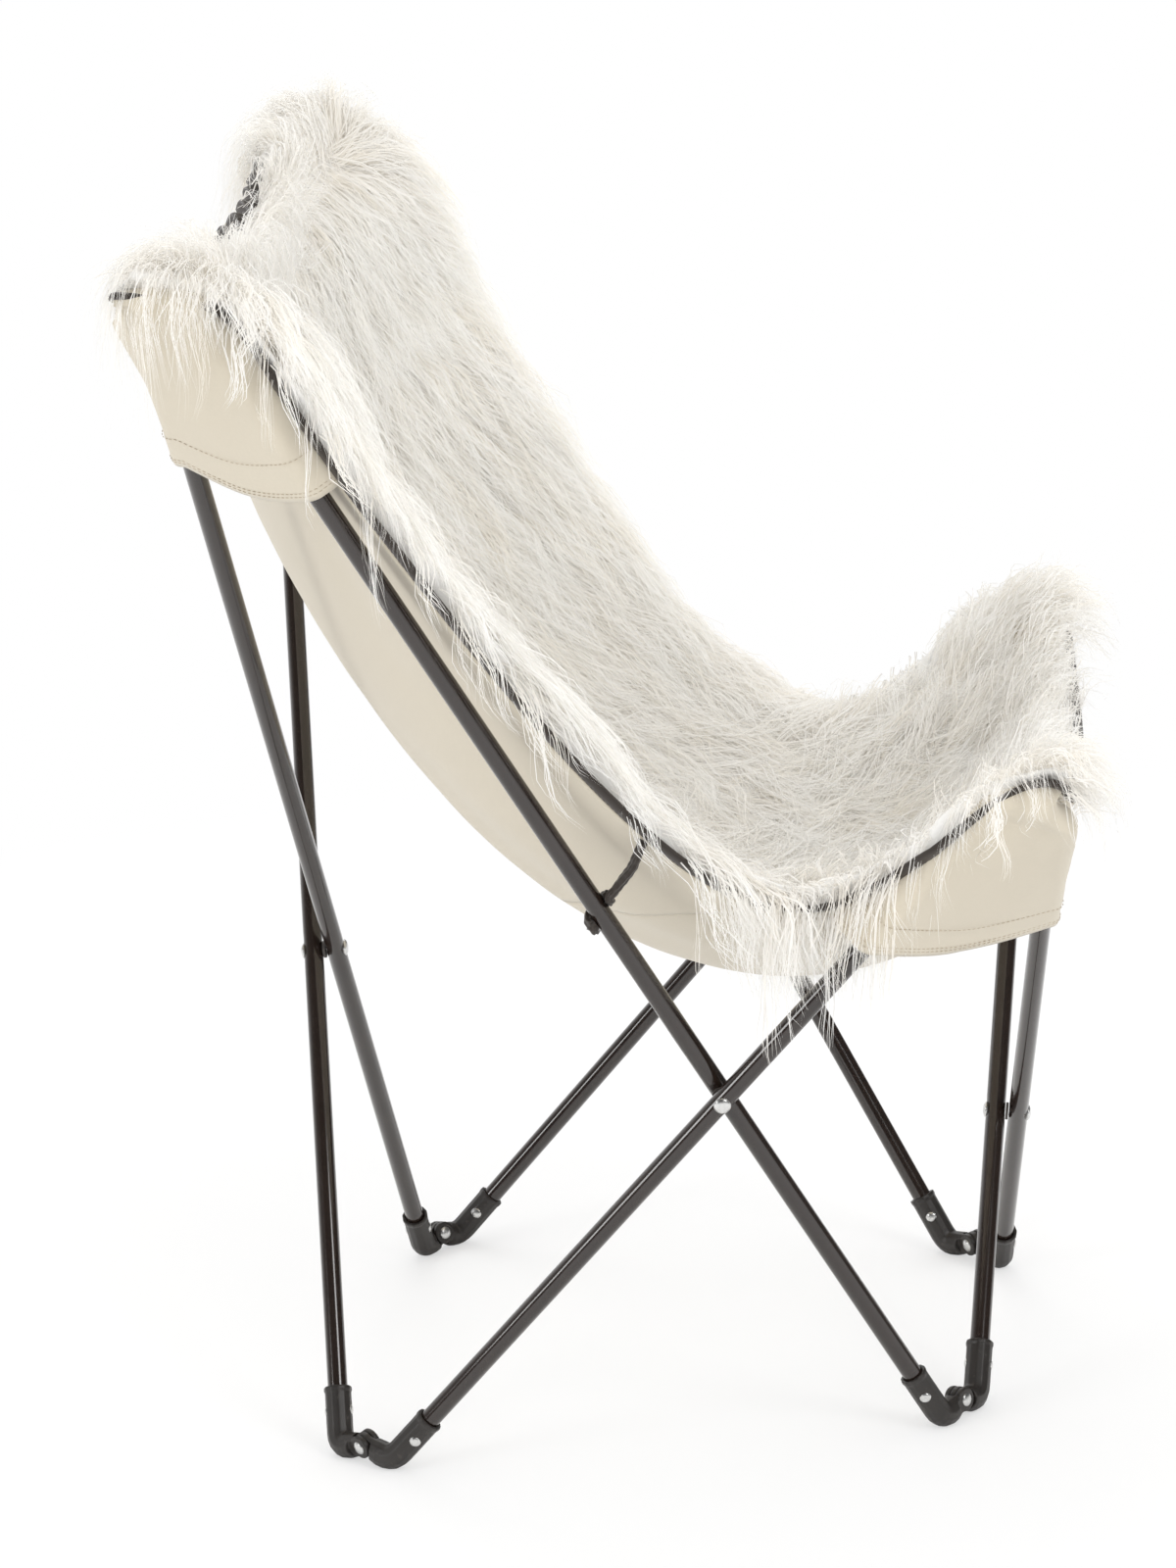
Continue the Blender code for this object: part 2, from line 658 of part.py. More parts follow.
def make_fur(panel, key):
    """Pile over a panel: its grid with one more row and column past each free edge."""
    vs, us = stations(panel, FUR_SEAM_GAP), columns()
    first = 0 if panel == "back" else 1
    over = BINDING_T - BINDING_DROP + 4 * CLEAR

    def cell(row, col):
        i, j = row - first, col - 1
        u = us[min(max(j, 0), PANEL_COLS)]
        v = vs[min(max(i, 0), PANEL_ROWS)]
        return u, v, (i in (-1, PANEL_ROWS + 1)), (j in (-1, PANEL_COLS + 1))

    def place(row, col):
        u, v, past_end, past_side = cell(row, col)
        edge = abs(u) == 1 or v in (0, 1)
        point = sling(u, v) + sling_normal(u, v) * (over if edge else LINING_T + CLEAR)
        if past_end or past_side:
            out = edge_out(u, v)
            if past_end != past_side and abs(u) == 1 and v in (0, 1):
                along = sling(u, v) - (sling(u, abs(v - 0.01)) if past_end else sling(u * 0.99, v))
                out = along.normalized()
            point += out * FUR_LAP * (1.3 if past_end and past_side else 1.0) + sling_normal(u, v) * FUR_LIFT
        return point

    def rise(row, col):
        u, v, past_end, past_side = cell(row, col)
        depth = FUR_T - (FUR_T - FUR_EDGE_T) * 0.5 * abs(u) ** 4
        if past_end or past_side:
            depth = FUR_TIP_T
        elif abs(u) == 1 or v in (0, 1):
            depth = FUR_EDGE_T
        return sling_normal(u, v) * depth

    part(panel + "_fur", pad(PANEL_ROWS + 1, PANEL_COLS + 2, place, rise), PILE, key)


def make_binding(panel, key):
    """Folded tape around the three free edges of a panel."""
    vs, us = stations(panel), columns()
    if panel == "back":
        walk = [(-1, v) for v in vs] + [(u, 0.0) for u in us[1:-1]] + [(1, v) for v in vs[::-1]]
    else:
        walk = [(1, v) for v in vs[::-1]] + [(u, 1.0) for u in us[::-1][1:-1]] + [(-1, v) for v in vs]

    def place(row, col):
        u, v = walk[col]
        corner = 1.35 if abs(u) == 1 and v in (0, 1) else 1.0
        out = 2 * CLEAR + BINDING_W * row
        return sling(u, v) + edge_out(u, v) * out * corner - sling_normal(u, v) * BINDING_DROP

    def rise(_, col):
        return sling_normal(*walk[col]) * BINDING_T

    part(panel + "_binding", pad(1, len(walk) - 1, place, rise), SATIN, key)


def make_pocket(corner, hem, rise, key):
    """Canvas pocket around two tube ends: rings square to their mean, drawn shut at the top."""
    p, q, down_p, down_q, mean = pocket_axes(corner)
    base = (p + q) / 2
    slope_p, slope_q = down_p / down_p.dot(mean), down_q / down_q.dot(mean)
    foot_p = p + slope_p * (base - p).dot(mean)
    foot_q = q + slope_q * (base - q).dot(mean)
    top = pocket_top(corner)
    across = foot_q - foot_p
    across = (across - mean * across.dot(mean)).normalized()
    face = mean.cross(across)
    stretch = 1 / down_p.dot(mean)
    radius = pocket_radius()
    rings = [(hem, 1.0), (hem * 0.7, 1.0), (hem * 0.35, 1.0), (0.0, 1.0), (top * 0.5, 1.0),
             (top, 0.98), (top - radius * 0.4, 0.5), (top - radius * 0.5, 0.0)]

    def place(row, col):
        down, size = rings[row]
        arc = 2 * POCKET_ARC + 2
        col = col % arc
        second = col > POCKET_ARC
        step = col - POCKET_ARC - 1 if second else col
        turn_by = math.pi * (step / POCKET_ARC + (-0.5 if second else 0.5))
        lift = rise * max(down, 0) / hem
        centre = foot_q + slope_q * (down - lift) if second else foot_p + slope_p * down
        return centre + (across * math.cos(turn_by) * stretch + face * math.sin(turn_by)) * radius * size

    mesh = cloth(len(rings) - 1, 2 * POCKET_ARC + 2, place, rolled=True)
    obj = part(corner + "_pocket", mesh, CANVAS, key)
    thicken(obj, POCKET_T)


def make_strap():
    """Rolled strap from the binding round the long tube."""
    key = "right_long"
    foot, up = ENDS[key][0], way(key)
    normal = sling_normal(-1, STRAP_V)
    start = sling(-1, STRAP_V) + edge_out(-1, STRAP_V) * (BINDING_W / 2)
    tie = foot + up * ((start.z - STRAP_DROP - foot.z) / up.z)
    lean = (tie - start).normalized().dot(normal)
    start -= normal * (BINDING_DROP + CLEAR + STRAP_D / 2 * math.sqrt(1 - lean * lean))
    near = start - tie
    near = (near - up * near.dot(up)).normalized()
    side = up.cross(near)
    radius = TUBE_D / 2 + STRAP_D / 2 + CLEAR
    turn_by = 1 if side.x > 0 else -1
    points = [start, start.lerp(tie + near * radius * 1.15, 0.45)]
    for i in range(10):
        t = math.radians(-10 + 26 * i) * turn_by
        climb = up * STRAP_D * 0.19 * (i - 2.5)
        points.append(tie + (near * math.cos(t) + side * math.sin(t)) * radius - climb)
    obj = part("right_tie_strap", pipe([p - start for p in points], STRAP_D / 2, 2), SATIN, key)
    set_pose(obj, start)


def make_label():
    """Blank woven tab that hangs from the underside of the seat panel."""
    u, v = columns()[LABEL_CELL[0]], stations("seat")[LABEL_CELL[1]]
    normal = sling_normal(u, v)
    obj = part("sewn_label", box(LABEL_W, LABEL_T, LABEL_H), LABEL, "right_long")
    set_pose(obj, sling(u, v) - normal * (LABEL_H / 2 + CLEAR), normal)


for thing in list(bpy.data.objects):
    bpy.data.objects.remove(thing)
CHAIR = collection("butterfly_chair")
CUTTERS = collection("cutters")
BODIES = {}
make_bodies()
make_tubes()
for foot_name, (fork_key, tongue_key, _) in FEET.items():
    make_elbow(fork_key, foot_name, True)
    make_elbow(tongue_key, foot_name, False)
make_rivets()
make_studs()
make_caps()
for panel_name, panel_key in (("back", "right_long"), ("seat", "right_long")):
    make_lining(panel_name, panel_key)
    make_fur(panel_name, panel_key)
    make_binding(panel_name, panel_key)
for corner_name, pair in TOPS.items():
    hem_sizes = (REAR_HEM, REAR_HEM_RISE) if "rear" in corner_name else (FRONT_HEM, FRONT_HEM_RISE)
    make_pocket(corner_name, *hem_sizes, pair[0])
make_strap()
make_label()
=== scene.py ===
"""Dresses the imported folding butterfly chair: enamelled tubes, moulded feet and a long-haired sling.

The CAD frame gives every tube, foot and rivet its place.  The sling is one surface, sling(), and its
canvas, binding, pockets, stitches and hair are all laid out on that surface.
"""

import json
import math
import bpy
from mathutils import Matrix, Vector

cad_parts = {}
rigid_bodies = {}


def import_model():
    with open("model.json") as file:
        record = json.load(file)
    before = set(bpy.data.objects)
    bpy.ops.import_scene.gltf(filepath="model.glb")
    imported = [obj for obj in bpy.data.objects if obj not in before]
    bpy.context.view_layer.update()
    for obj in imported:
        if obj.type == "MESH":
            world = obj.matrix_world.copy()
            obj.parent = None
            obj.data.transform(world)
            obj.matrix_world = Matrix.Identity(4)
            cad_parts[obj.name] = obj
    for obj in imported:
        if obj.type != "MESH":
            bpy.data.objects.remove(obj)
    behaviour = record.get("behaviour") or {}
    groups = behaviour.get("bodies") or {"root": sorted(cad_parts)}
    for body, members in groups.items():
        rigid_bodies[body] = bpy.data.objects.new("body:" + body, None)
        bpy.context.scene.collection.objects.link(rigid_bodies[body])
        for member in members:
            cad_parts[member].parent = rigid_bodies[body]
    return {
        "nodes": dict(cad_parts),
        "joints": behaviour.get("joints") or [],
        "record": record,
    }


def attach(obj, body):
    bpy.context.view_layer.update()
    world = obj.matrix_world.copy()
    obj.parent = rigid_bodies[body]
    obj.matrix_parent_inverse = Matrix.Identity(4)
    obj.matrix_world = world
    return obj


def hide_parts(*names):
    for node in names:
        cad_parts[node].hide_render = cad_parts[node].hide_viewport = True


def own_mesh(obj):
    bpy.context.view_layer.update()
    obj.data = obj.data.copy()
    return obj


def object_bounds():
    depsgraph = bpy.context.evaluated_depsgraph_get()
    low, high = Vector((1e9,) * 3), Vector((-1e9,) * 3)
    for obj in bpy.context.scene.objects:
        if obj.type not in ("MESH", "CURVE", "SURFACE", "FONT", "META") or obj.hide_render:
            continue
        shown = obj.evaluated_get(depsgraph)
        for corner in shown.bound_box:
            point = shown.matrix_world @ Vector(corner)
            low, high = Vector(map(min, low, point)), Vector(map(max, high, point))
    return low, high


bl_info = {
    "name": "Butterfly chair dresser",
    "version": (1, 0, 0),
    "blender": (4, 5, 0),
    "location": "View3D > Sidebar > Chair",
    "description": "Builds the visible pieces of a folding butterfly chair over its CAD frame",
    "category": "Object",
}

import bmesh
import bpy
import numpy as np
from mathutils import Matrix, Vector, noise

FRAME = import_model()
CAD_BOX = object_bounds()
NODES = FRAME["nodes"]
BODIES = FRAME["record"]["behaviour"]["bodies"]
BODY_OF = {node: body for body, members in BODIES.items() for node in members}
STRAP_BODY = "right_long"         # the tie strap is wound round this tube
TUBES = [body + "_tube" for body in BODIES]
TUBE_RADIUS = 0.008
PANELS = ("back", "seat")
POCKET_TUBES = {
    "right_rear": ("right_long", "rear_inner"),
    "right_front": ("right_short", "front_outer"),
    "left_rear": ("left_long", "rear_outer"),
    "left_front": ("left_short", "front_inner"),
}


# Sizes and colours that a user would change


def length_property(name, description, default):
    return bpy.props.FloatProperty(name=name, description=description, unit="LENGTH", default=default)


def along_property(name, description, default):
    return bpy.props.FloatProperty(name=name, description=description, subtype="FACTOR", default=default)


def point_property(name, description, default):
    return bpy.props.FloatVectorProperty(
        name=name, description=description, subtype="XYZ", unit="LENGTH", default=default)


def direction_property(name, description, default):
    return bpy.props.FloatVectorProperty(
        name=name, description=description, subtype="DIRECTION", default=default)


def colour_property(name, description, default):
    return bpy.props.FloatVectorProperty(
        name=name, description=description, subtype="COLOR", default=default)


class SlingSizes(bpy.types.PropertyGroup):
    """Shape of the hung sling: the CAD part's, with its edges drawn over the pockets."""

    rear_corner: point_property("Rear corner", "Left rear corner of the sling", (0.38047, 0.32068, 0.98432))
    front_corner: point_property(
        "Front corner", "Left front corner of the sling", (0.28224, -0.3234, 0.55057))
    rear_edge_drop: length_property("Rear edge drop", "Middle of the rear edge below its corners", 0.035)
    front_edge_drop: length_property("Front edge drop", "Middle of the front edge below its corners", 0.060)
    front_edge_out: length_property(
        "Front edge reach", "Middle of the front edge ahead of its corners", 0.015)
    edge_sag: length_property("Edge sag", "Side edge below its chord", 0.297)
    edge_lean: length_property("Edge lean", "Side edge forward of its chord", 0.080)
    edge_waist: length_property("Edge waist", "Side edge inside its chord", 0.035)
    seat_sag: length_property("Seat sag", "Middle line below its chord", 0.284)
    seat_set: length_property("Seat set", "Middle line behind its chord", 0.163)
    hollow: bpy.props.FloatProperty(name="Hollow", description="Power of the cross section", default=2.55)
    crease: along_property("Crease", "Seam of back and seat along the sling", 0.56)
    pocket_flare: length_property("Pocket flare", "Edge drawn out over the rear pockets", 0.036)
    pocket_crest: length_property("Pocket crest", "Edge raised over the rear pockets", 0.018)
    pocket_flap: length_property("Pocket flap", "Rear pockets and corners behind their tubes", 0.028)
    pocket_room: length_property(
        "Pocket room", "Slack round the second tube end, for its turn in the fold", 0.0065)
    canvas_thickness: length_property("Canvas", "Thickness of the canvas", 0.0018)
    pocket_thickness: length_property("Pocket canvas", "Thickness of the pockets' canvas", 0.0016)
    binding_width: length_property("Binding width", "Width of the folded edge tape", 0.0108)
    binding_depth: length_property("Binding depth", "Thickness of the folded edge tape", 0.0058)
    rear_hem: length_property("Rear pocket", "Depth of a rear pocket on its long tube", 0.158)
    front_hem: length_property("Front pocket", "Depth of a front pocket on its short tube", 0.107)
    rear_hem_rise: length_property("Rear hem rise", "Rear hem higher on the crossed tube", 0.022)
    front_hem_rise: length_property("Front hem rise", "Front hem higher on the crossed tube", 0.006)
    hem_belly: length_property("Hem belly", "Hem lower between its tubes", 0.012)
    strap_at: along_property("Strap place", "Sewn end of the tie strap along the sling", 0.39)
    strap_drop: length_property("Strap drop", "Tie on the tube below the sewn end", 0.055)


class FurSizes(bpy.types.PropertyGroup):
    """The long pile of the sling."""

    lock_length: length_property("Lock length", "Length of a lock of hair", 0.098)
    lock_lift: length_property("Lock lift", "Height of a lock above its root", 0.026)
    locks_per_square_metre: bpy.props.FloatProperty(
        name="Density", description="Locks on a square metre of cloth", default=7600.0)
    strands: bpy.props.IntProperty(name="Strands", description="Strands in one lock", default=9)
    strand_width: length_property("Strand width", "Width of a strand at its root", 0.0011)
    edge_droop: length_property("Edge droop", "How far the tips past an edge hang down", 0.088)
    undercoat: length_property("Undercoat", "Depth of the dense pile under the locks", 0.024)


class ChairColours(bpy.types.PropertyGroup):
    """Linear base colours of the finishes."""

    enamel: colour_property("Tube enamel", "Dark bronze gloss paint", (0.016, 0.010, 0.0075))
    moulding: colour_property("Foot moulding", "Black-brown nylon", (0.022, 0.019, 0.017))
    zinc: colour_property("Rivet zinc", "Bright plated steel", (0.74, 0.74, 0.73))
    canvas: colour_property("Canvas", "Cream brushed canvas", (0.66, 0.60, 0.49))
    fur: colour_property("Fur", "Ivory hair at its tip", (0.965, 0.96, 0.945))
    satin: colour_property("Binding", "Dark brown satin tape", (0.020, 0.014, 0.010))
    label: colour_property("Label", "Grey woven tape", (0.28, 0.28, 0.29))
    cream_thread: colour_property("Cream thread", "Sewing thread of the canvas", (0.50, 0.42, 0.31))
    dark_thread: colour_property("Dark thread", "Sewing thread of the binding", (0.03, 0.022, 0.017))


class ViewSizes(bpy.types.PropertyGroup):
    """Camera of the main view."""

    place: point_property("Camera", "Place of the camera", (-4.2317, -0.3328, 1.6329))
    right: direction_property("Right", "The picture's right", (0.07636, -0.99538, -0.0582))
    up: direction_property("Up", "The picture's up", (0.26452, -0.03606, 0.96371))
    lens: bpy.props.FloatProperty(
        name="Lens", description="Focal length for a 36 mm frame", unit="CAMERA", default=165.57)


# Node trees


def add_node(tree, kind, settings=None, output=0, **inputs):
    """A node with its settings made first and its sockets set or linked, as the value of one output.

    An input is named by its socket, with _ for a space, or by its number after a _.  A list is several links.
    """
    made = tree.nodes.new(kind)
    for key, value in (settings or {}).items():
        setattr(made, key, value)
    for key, value in inputs.items():
        slot = made.inputs[int(key[1:])] if key[0] == "_" else made.inputs[key.replace("_", " ")]
        sources = value if isinstance(value, list) else [value]
        for source in sources:
            if isinstance(source, Expr):
                tree.links.new(source.socket, slot)
            else:
                slot.default_value = source
    return Expr(tree, made.outputs[output]) if made.outputs else None


class Expr:
    """A node's value; arithmetic on it adds Math nodes to its tree."""

    def __init__(self, tree, socket):
        self.tree = tree
        self.socket = socket

    def output(self, name):
        """Another output of the same node."""
        return Expr(self.tree, self.socket.node.outputs[name])

    def maths(self, operation, first, second):
        return add_node(self.tree, "ShaderNodeMath", {"operation": operation}, _0=first, _1=second)

    def __add__(self, other):
        return self.maths("ADD", self, other)

    __radd__ = __add__

    def __sub__(self, other):
        return self.maths("SUBTRACT", self, other)

    def __rsub__(self, other):
        return self.maths("SUBTRACT", other, self)

    def __mul__(self, other):
        return self.maths("MULTIPLY", self, other)

    __rmul__ = __mul__

    def __pow__(self, other):
        return self.maths("POWER", self, other)

    def above(self, limit):
        return self.maths("GREATER_THAN", self, limit)

    def at_least(self, limit):
        return self.maths("MAXIMUM", self, limit)

    def at_most(self, limit):
        return self.maths("MINIMUM", self, limit)


class Finish:
    """A node material: one Principled shader, and methods that add the nodes around it."""

    def __init__(self, name, **constants):
        self.material = bpy.data.materials.new(name)
        self.material.use_nodes = True
        self.tree = self.material.node_tree
        self.shader = self.tree.nodes["Principled BSDF"]
        for socket, value in constants.items():
            self.shader.inputs[socket.replace("_", " ").title().replace("Ior", "IOR")].default_value = value

    def node(self, kind, settings=None, output=0, **inputs):
        return add_node(self.tree, kind, settings, output, **inputs)

    def place(self, output="Object"):
        return self.node("ShaderNodeTexCoord", output=output)

    def mottle(self, scale, detail=3.0):
        """Noise from 0 to 1 around one half."""
        return self.node("ShaderNodeTexNoise", output="Fac", Vector=self.place(), Scale=scale, Detail=detail)

    def ribs(self, where, direction, scale):
        """Waves from 0 to 1 along a direction."""
        settings = {"wave_type": "BANDS", "bands_direction": direction}
        return self.node("ShaderNodeTexWave", settings, output="Fac", Vector=where, Scale=scale)

    def attribute(self, name):
        return self.node("ShaderNodeAttribute", {"attribute_name": name}, output="Fac")

    def mix(self, share, low, high):
        """A colour between two."""
        return self.node("ShaderNodeMix", {"data_type": "RGBA"}, output=2, _0=share, _6=low, _7=high)

    def feed(self, socket, value):
        self.tree.links.new(value.socket, self.shader.inputs[socket])

    def bump(self, height, strength, distance):
        self.feed("Normal", self.node("ShaderNodeBump", Height=height, Strength=strength, Distance=distance))
        return self.material

    def blend(self, share, other):
        """Mix a share of another shader into the Principled one."""
        shader = Expr(self.tree, self.shader.outputs[0])
        mixed = self.node("ShaderNodeMixShader", _0=share, _1=shader, _2=other)
        self.tree.links.new(mixed.socket, self.tree.nodes["Material Output"].inputs["Surface"])
        return self.material


# Finishes


def shade(colour, share):
    """A colour made darker or lighter, with alpha."""
    return tuple(min(c * share, 1.0) for c in colour) + (1.0,)


def tint(colour, *shares):
    """A colour with a share of its red, green and blue."""
    return tuple(c * share for c, share in zip(colour, shares))


def enamel_finish(colour):
    """Gloss paint with orange peel, cloudy depth and fine dust."""
    finish = Finish("tube_enamel", coat_weight=0.7, coat_roughness=0.05)
    cloud = finish.mottle(scale=45.0)
    dust = finish.mottle(scale=1400.0, detail=1.0).above(0.69)
    tone = finish.mix(cloud, shade(colour, 0.75), shade(colour, 1.35))
    finish.feed("Base Color", finish.mix(dust * 0.35, tone, shade(colour, 5.0)))
    finish.feed("Roughness", 0.13 + cloud * 0.08 + dust * 0.2)
    return finish.bump(finish.mottle(scale=520.0, detail=2.0), strength=0.06, distance=0.0004)


def moulding_finish(colour):
    """Moulded nylon with a fine spark grain and rubbed high spots."""
    finish = Finish("foot_moulding", specular_ior_level=0.5)
    cloud = finish.mottle(scale=60.0)
    grain = finish.mottle(scale=1500.0, detail=2.0)
    scuff = finish.mottle(scale=170.0, detail=6.0).above(0.66)
    tone = finish.mix(cloud, shade(colour, 0.8), shade(colour, 1.5))
    finish.feed("Base Color", finish.mix(scuff * 0.4, tone, shade(colour, 3.2)))
    finish.feed("Roughness", 0.30 + grain * 0.16 + scuff * 0.15)
    return finish.bump(grain, strength=0.18, distance=0.0004)


def zinc_finish(colour):
    """Bright plating with small dents and a dull bloom."""
    finish = Finish("rivet_zinc", metallic=1.0)
    bloom = finish.mottle(scale=380.0)
    finish.feed("Base Color", finish.mix(bloom, shade(colour, 0.82), shade(colour, 1.12)))
    finish.feed("Roughness", 0.20 + bloom * 0.22)
    return finish.bump(finish.mottle(scale=900.0, detail=2.0), strength=0.10, distance=0.0003)


def nylon_finish(colour):
    """Plain turned nylon of the caps and washers."""
    finish = Finish("cap_nylon")
    grain = finish.mottle(scale=700.0)
    finish.feed("Base Color", finish.mix(grain, shade(colour, 2.2), shade(colour, 3.4)))
    finish.feed("Roughness", 0.45 + grain * 0.15)
    return finish.bump(grain, strength=0.1, distance=0.0003)


def canvas_finish(colour):
    """Brushed canvas: a suede nap over a fine plain weave, with soft clouding."""
    finish = Finish("brushed_canvas", sheen_weight=0.25, sheen_roughness=0.5, specular_ior_level=0.2)
    cloth = finish.place("UV")
    cloud = finish.mottle(scale=9.0, detail=4.0)
    nap = finish.mottle(scale=420.0, detail=4.0)
    weave = finish.ribs(cloth, "X", scale=270.0) * 0.5 + finish.ribs(cloth, "Y", scale=270.0) * 0.5
    tone = finish.mix(cloud, shade(colour, 0.91), shade(colour, 1.06))
    finish.feed("Base Color", finish.mix(nap * 0.55 + weave * 0.12, shade(colour, 0.88), tone))
    finish.feed("Roughness", 0.78 + nap * 0.16)
    return finish.bump(nap * 0.7 + weave * 0.3, strength=0.22, distance=0.0006)


def satin_finish(colour):
    """Dark tape with cross ribs and a soft sheen."""
    finish = Finish("binding_satin", sheen_weight=0.15, specular_ior_level=0.45)
    rib = finish.ribs(finish.place("UV"), "X", scale=330.0)
    cloud = finish.mottle(scale=120.0)
    finish.feed("Base Color", finish.mix(rib * 0.5 + cloud * 0.4, shade(colour, 0.6), shade(colour, 2.4)))
    finish.feed("Roughness", 0.34 + cloud * 0.22)
    return finish.bump(rib * 0.6 + cloud * 0.4, strength=0.35, distance=0.0006)


def thread_finish(name, colour):
    """Twisted sewing thread."""
    finish = Finish(name)
    twist = finish.ribs(finish.place(), "DIAGONAL", scale=900.0)
    finish.feed("Base Color", finish.mix(twist, shade(colour, 0.75), shade(colour, 1.08)))
    finish.feed("Roughness", 0.55 + twist * 0.2)
    return finish.bump(twist, strength=0.3, distance=0.0003)


def cream_thread_finish(colour):
    return thread_finish("cream_thread", colour)


def dark_thread_finish(colour):
    return thread_finish("dark_thread", colour)


def label_finish(colour):
    """Woven tape with fine cross ribs."""
    finish = Finish("woven_label")
    rib = finish.ribs(finish.place(), "Z", scale=900.0)
    finish.feed("Base Color", finish.mix(rib, shade(colour, 0.7), shade(colour, 1.2)))
    finish.feed("Roughness", 0.7 + rib * 0.2)
    return finish.bump(rib, strength=0.4, distance=0.0004)


def fur_finish(colour):
    """Acrylic hair: warm and dull at the root, ivory and silky at the tip, a tone for each lock, with a faint
    painted glow of its own colour.
    """
    # The emission strength sets a faint painted glow of the hair's own colour
    finish = Finish("long_pile", sheen_weight=0.2, sheen_roughness=0.4, specular_ior_level=0.35,
                    emission_strength=0.035)
    along = finish.attribute("along")
    tone = finish.attribute("tone")
    root = tint(colour, 0.97, 0.95, 0.92)
    warm = tint(colour, 0.96, 0.92, 0.85)
    hair = finish.mix(along ** 0.6, shade(root, 1.0), shade(colour, 1.0))
    finish.feed("Base Color", finish.mix(tone ** 3, hair, shade(warm, 1.0)))
    # Painted glow: the hair emits a little of its own colour, to look brighter than its lamps make it
    finish.feed("Emission Color", hair)
    finish.feed("Roughness", 0.62 - along * 0.16)
    light_through = finish.node("ShaderNodeBsdfTranslucent", Color=hair)
    return finish.blend(0.44, light_through)


def undercoat_finish(colour):
    """Dense short pile under the locks, with soft streaks; its colour is set darker than the hair's as
    painted shade, and it has a faint painted glow.
    """
    # The emission strength sets a faint painted glow of the pile's own colour
    finish = Finish("dense_pile", sheen_weight=0.3, specular_ior_level=0.2, emission_strength=0.04)
    streak = finish.mottle(scale=160.0, detail=5.0)
    root = tint(colour, 0.96, 0.94, 0.90)
    # Painted shade: the pile is set darker than the hair, as if lying in the shade of the locks over it
    coat = finish.mix(streak, shade(root, 0.80), shade(colour, 0.87))
    finish.feed("Base Color", coat)
    # Painted glow: the pile emits a little of its colour, to lighten the depth of the fur
    finish.feed("Emission Color", coat)
    finish.feed("Roughness", 0.75 + streak * 0.15)
    return finish.bump(streak, strength=0.35, distance=0.003)


# The maker of each finish, and the colour that it takes
FINISH_MAKERS = {
    "enamel": (enamel_finish, "enamel"),
    "moulding": (moulding_finish, "moulding"),
    "zinc": (zinc_finish, "zinc"),
    "nylon": (nylon_finish, "moulding"),
    "canvas": (canvas_finish, "canvas"),
    "satin": (satin_finish, "satin"),
    "cream_thread": (cream_thread_finish, "cream_thread"),
    "dark_thread": (dark_thread_finish, "dark_thread"),
    "label": (label_finish, "label"),
    "fur": (fur_finish, "fur"),
    "undercoat": (undercoat_finish, "fur"),
}
FINISHES = {}


def finish_named(context, name):
    """A finish, made when it is first asked for."""
    if name not in FINISHES:
        make, colour = FINISH_MAKERS[name]
        FINISHES[name] = make(getattr(context.scene.chair_colours, colour))
    return FINISHES[name]


# The sling's surface

# Powers of the humps that bend the side edge and the middle line, toward the rear and toward the front
WAIST_POWERS = (0.6, 0.8)
LEAN_POWERS = (1.0, 1.7)
EDGE_SAG_POWERS = (1.2, 1.42)
SEAT_SET_POWERS = (1.0, 1.6)
SEAT_SAG_POWERS = (1.95, 1.05)
# How the side edge is drawn over the pockets, as shares by its place v
FLARE_PLACES = (0.0, 0.02, 0.04, 0.06, 0.08, 0.10, 0.12, 0.20, 0.30, 0.68, 0.76, 0.82, 0.93, 1.0)
FLARE_OUT = (0.70, 0.92, 1.0, 0.95, 0.90, 0.83, 0.75, 0.38, 0.0, 0.0, 0.42, 0.80, 0.84, 0.45)
FLARE_UP = (0.55, 1.7, 1.45, 1.05, 0.80, 0.60, 0.45, 0.17, 0.0, 0.0, 0.0, 0.0, 0.0, 0.0)
FLARE_BACK = (1.2, 0.30, 0.0, 0.0, 0.0, 0.0, 0.0, 0.0, 0.0, 0.0, 0.0, 0.0, 0.0, 0.0)
# The crest leans forward as it rises; the flap at a corner drops by a share of its way back
CREST_FORWARD, CREST_RISE = 0.886, 0.464
FLAP_DROP = 0.5


def sizes():
    return bpy.context.scene.chair_sling


def hump(t, before, after):
    """Smooth rise from 0 to 1 and back over t from 0 to 1, skewed by its powers."""
    peak = before / (before + after)
    return (t / peak) ** before * ((1 - t) / (1 - peak)) ** after


def bell(x, middle, width):
    """1 at the middle, fading on both sides."""
    return np.exp(-((x - middle) / width) ** 2)


def ramp(x, start, width):
    """0 up to the start, rising to 1 over the width."""
    return np.clip((x - start) / width, 0, 1)


def eased(v, shares):
    """Shares at the flare's places, joined without corners."""
    step = 0.012
    around = [np.interp(v + k * step, FLARE_PLACES, shares) for k in (-1, 0, 0, 1)]
    return sum(around) / len(around)


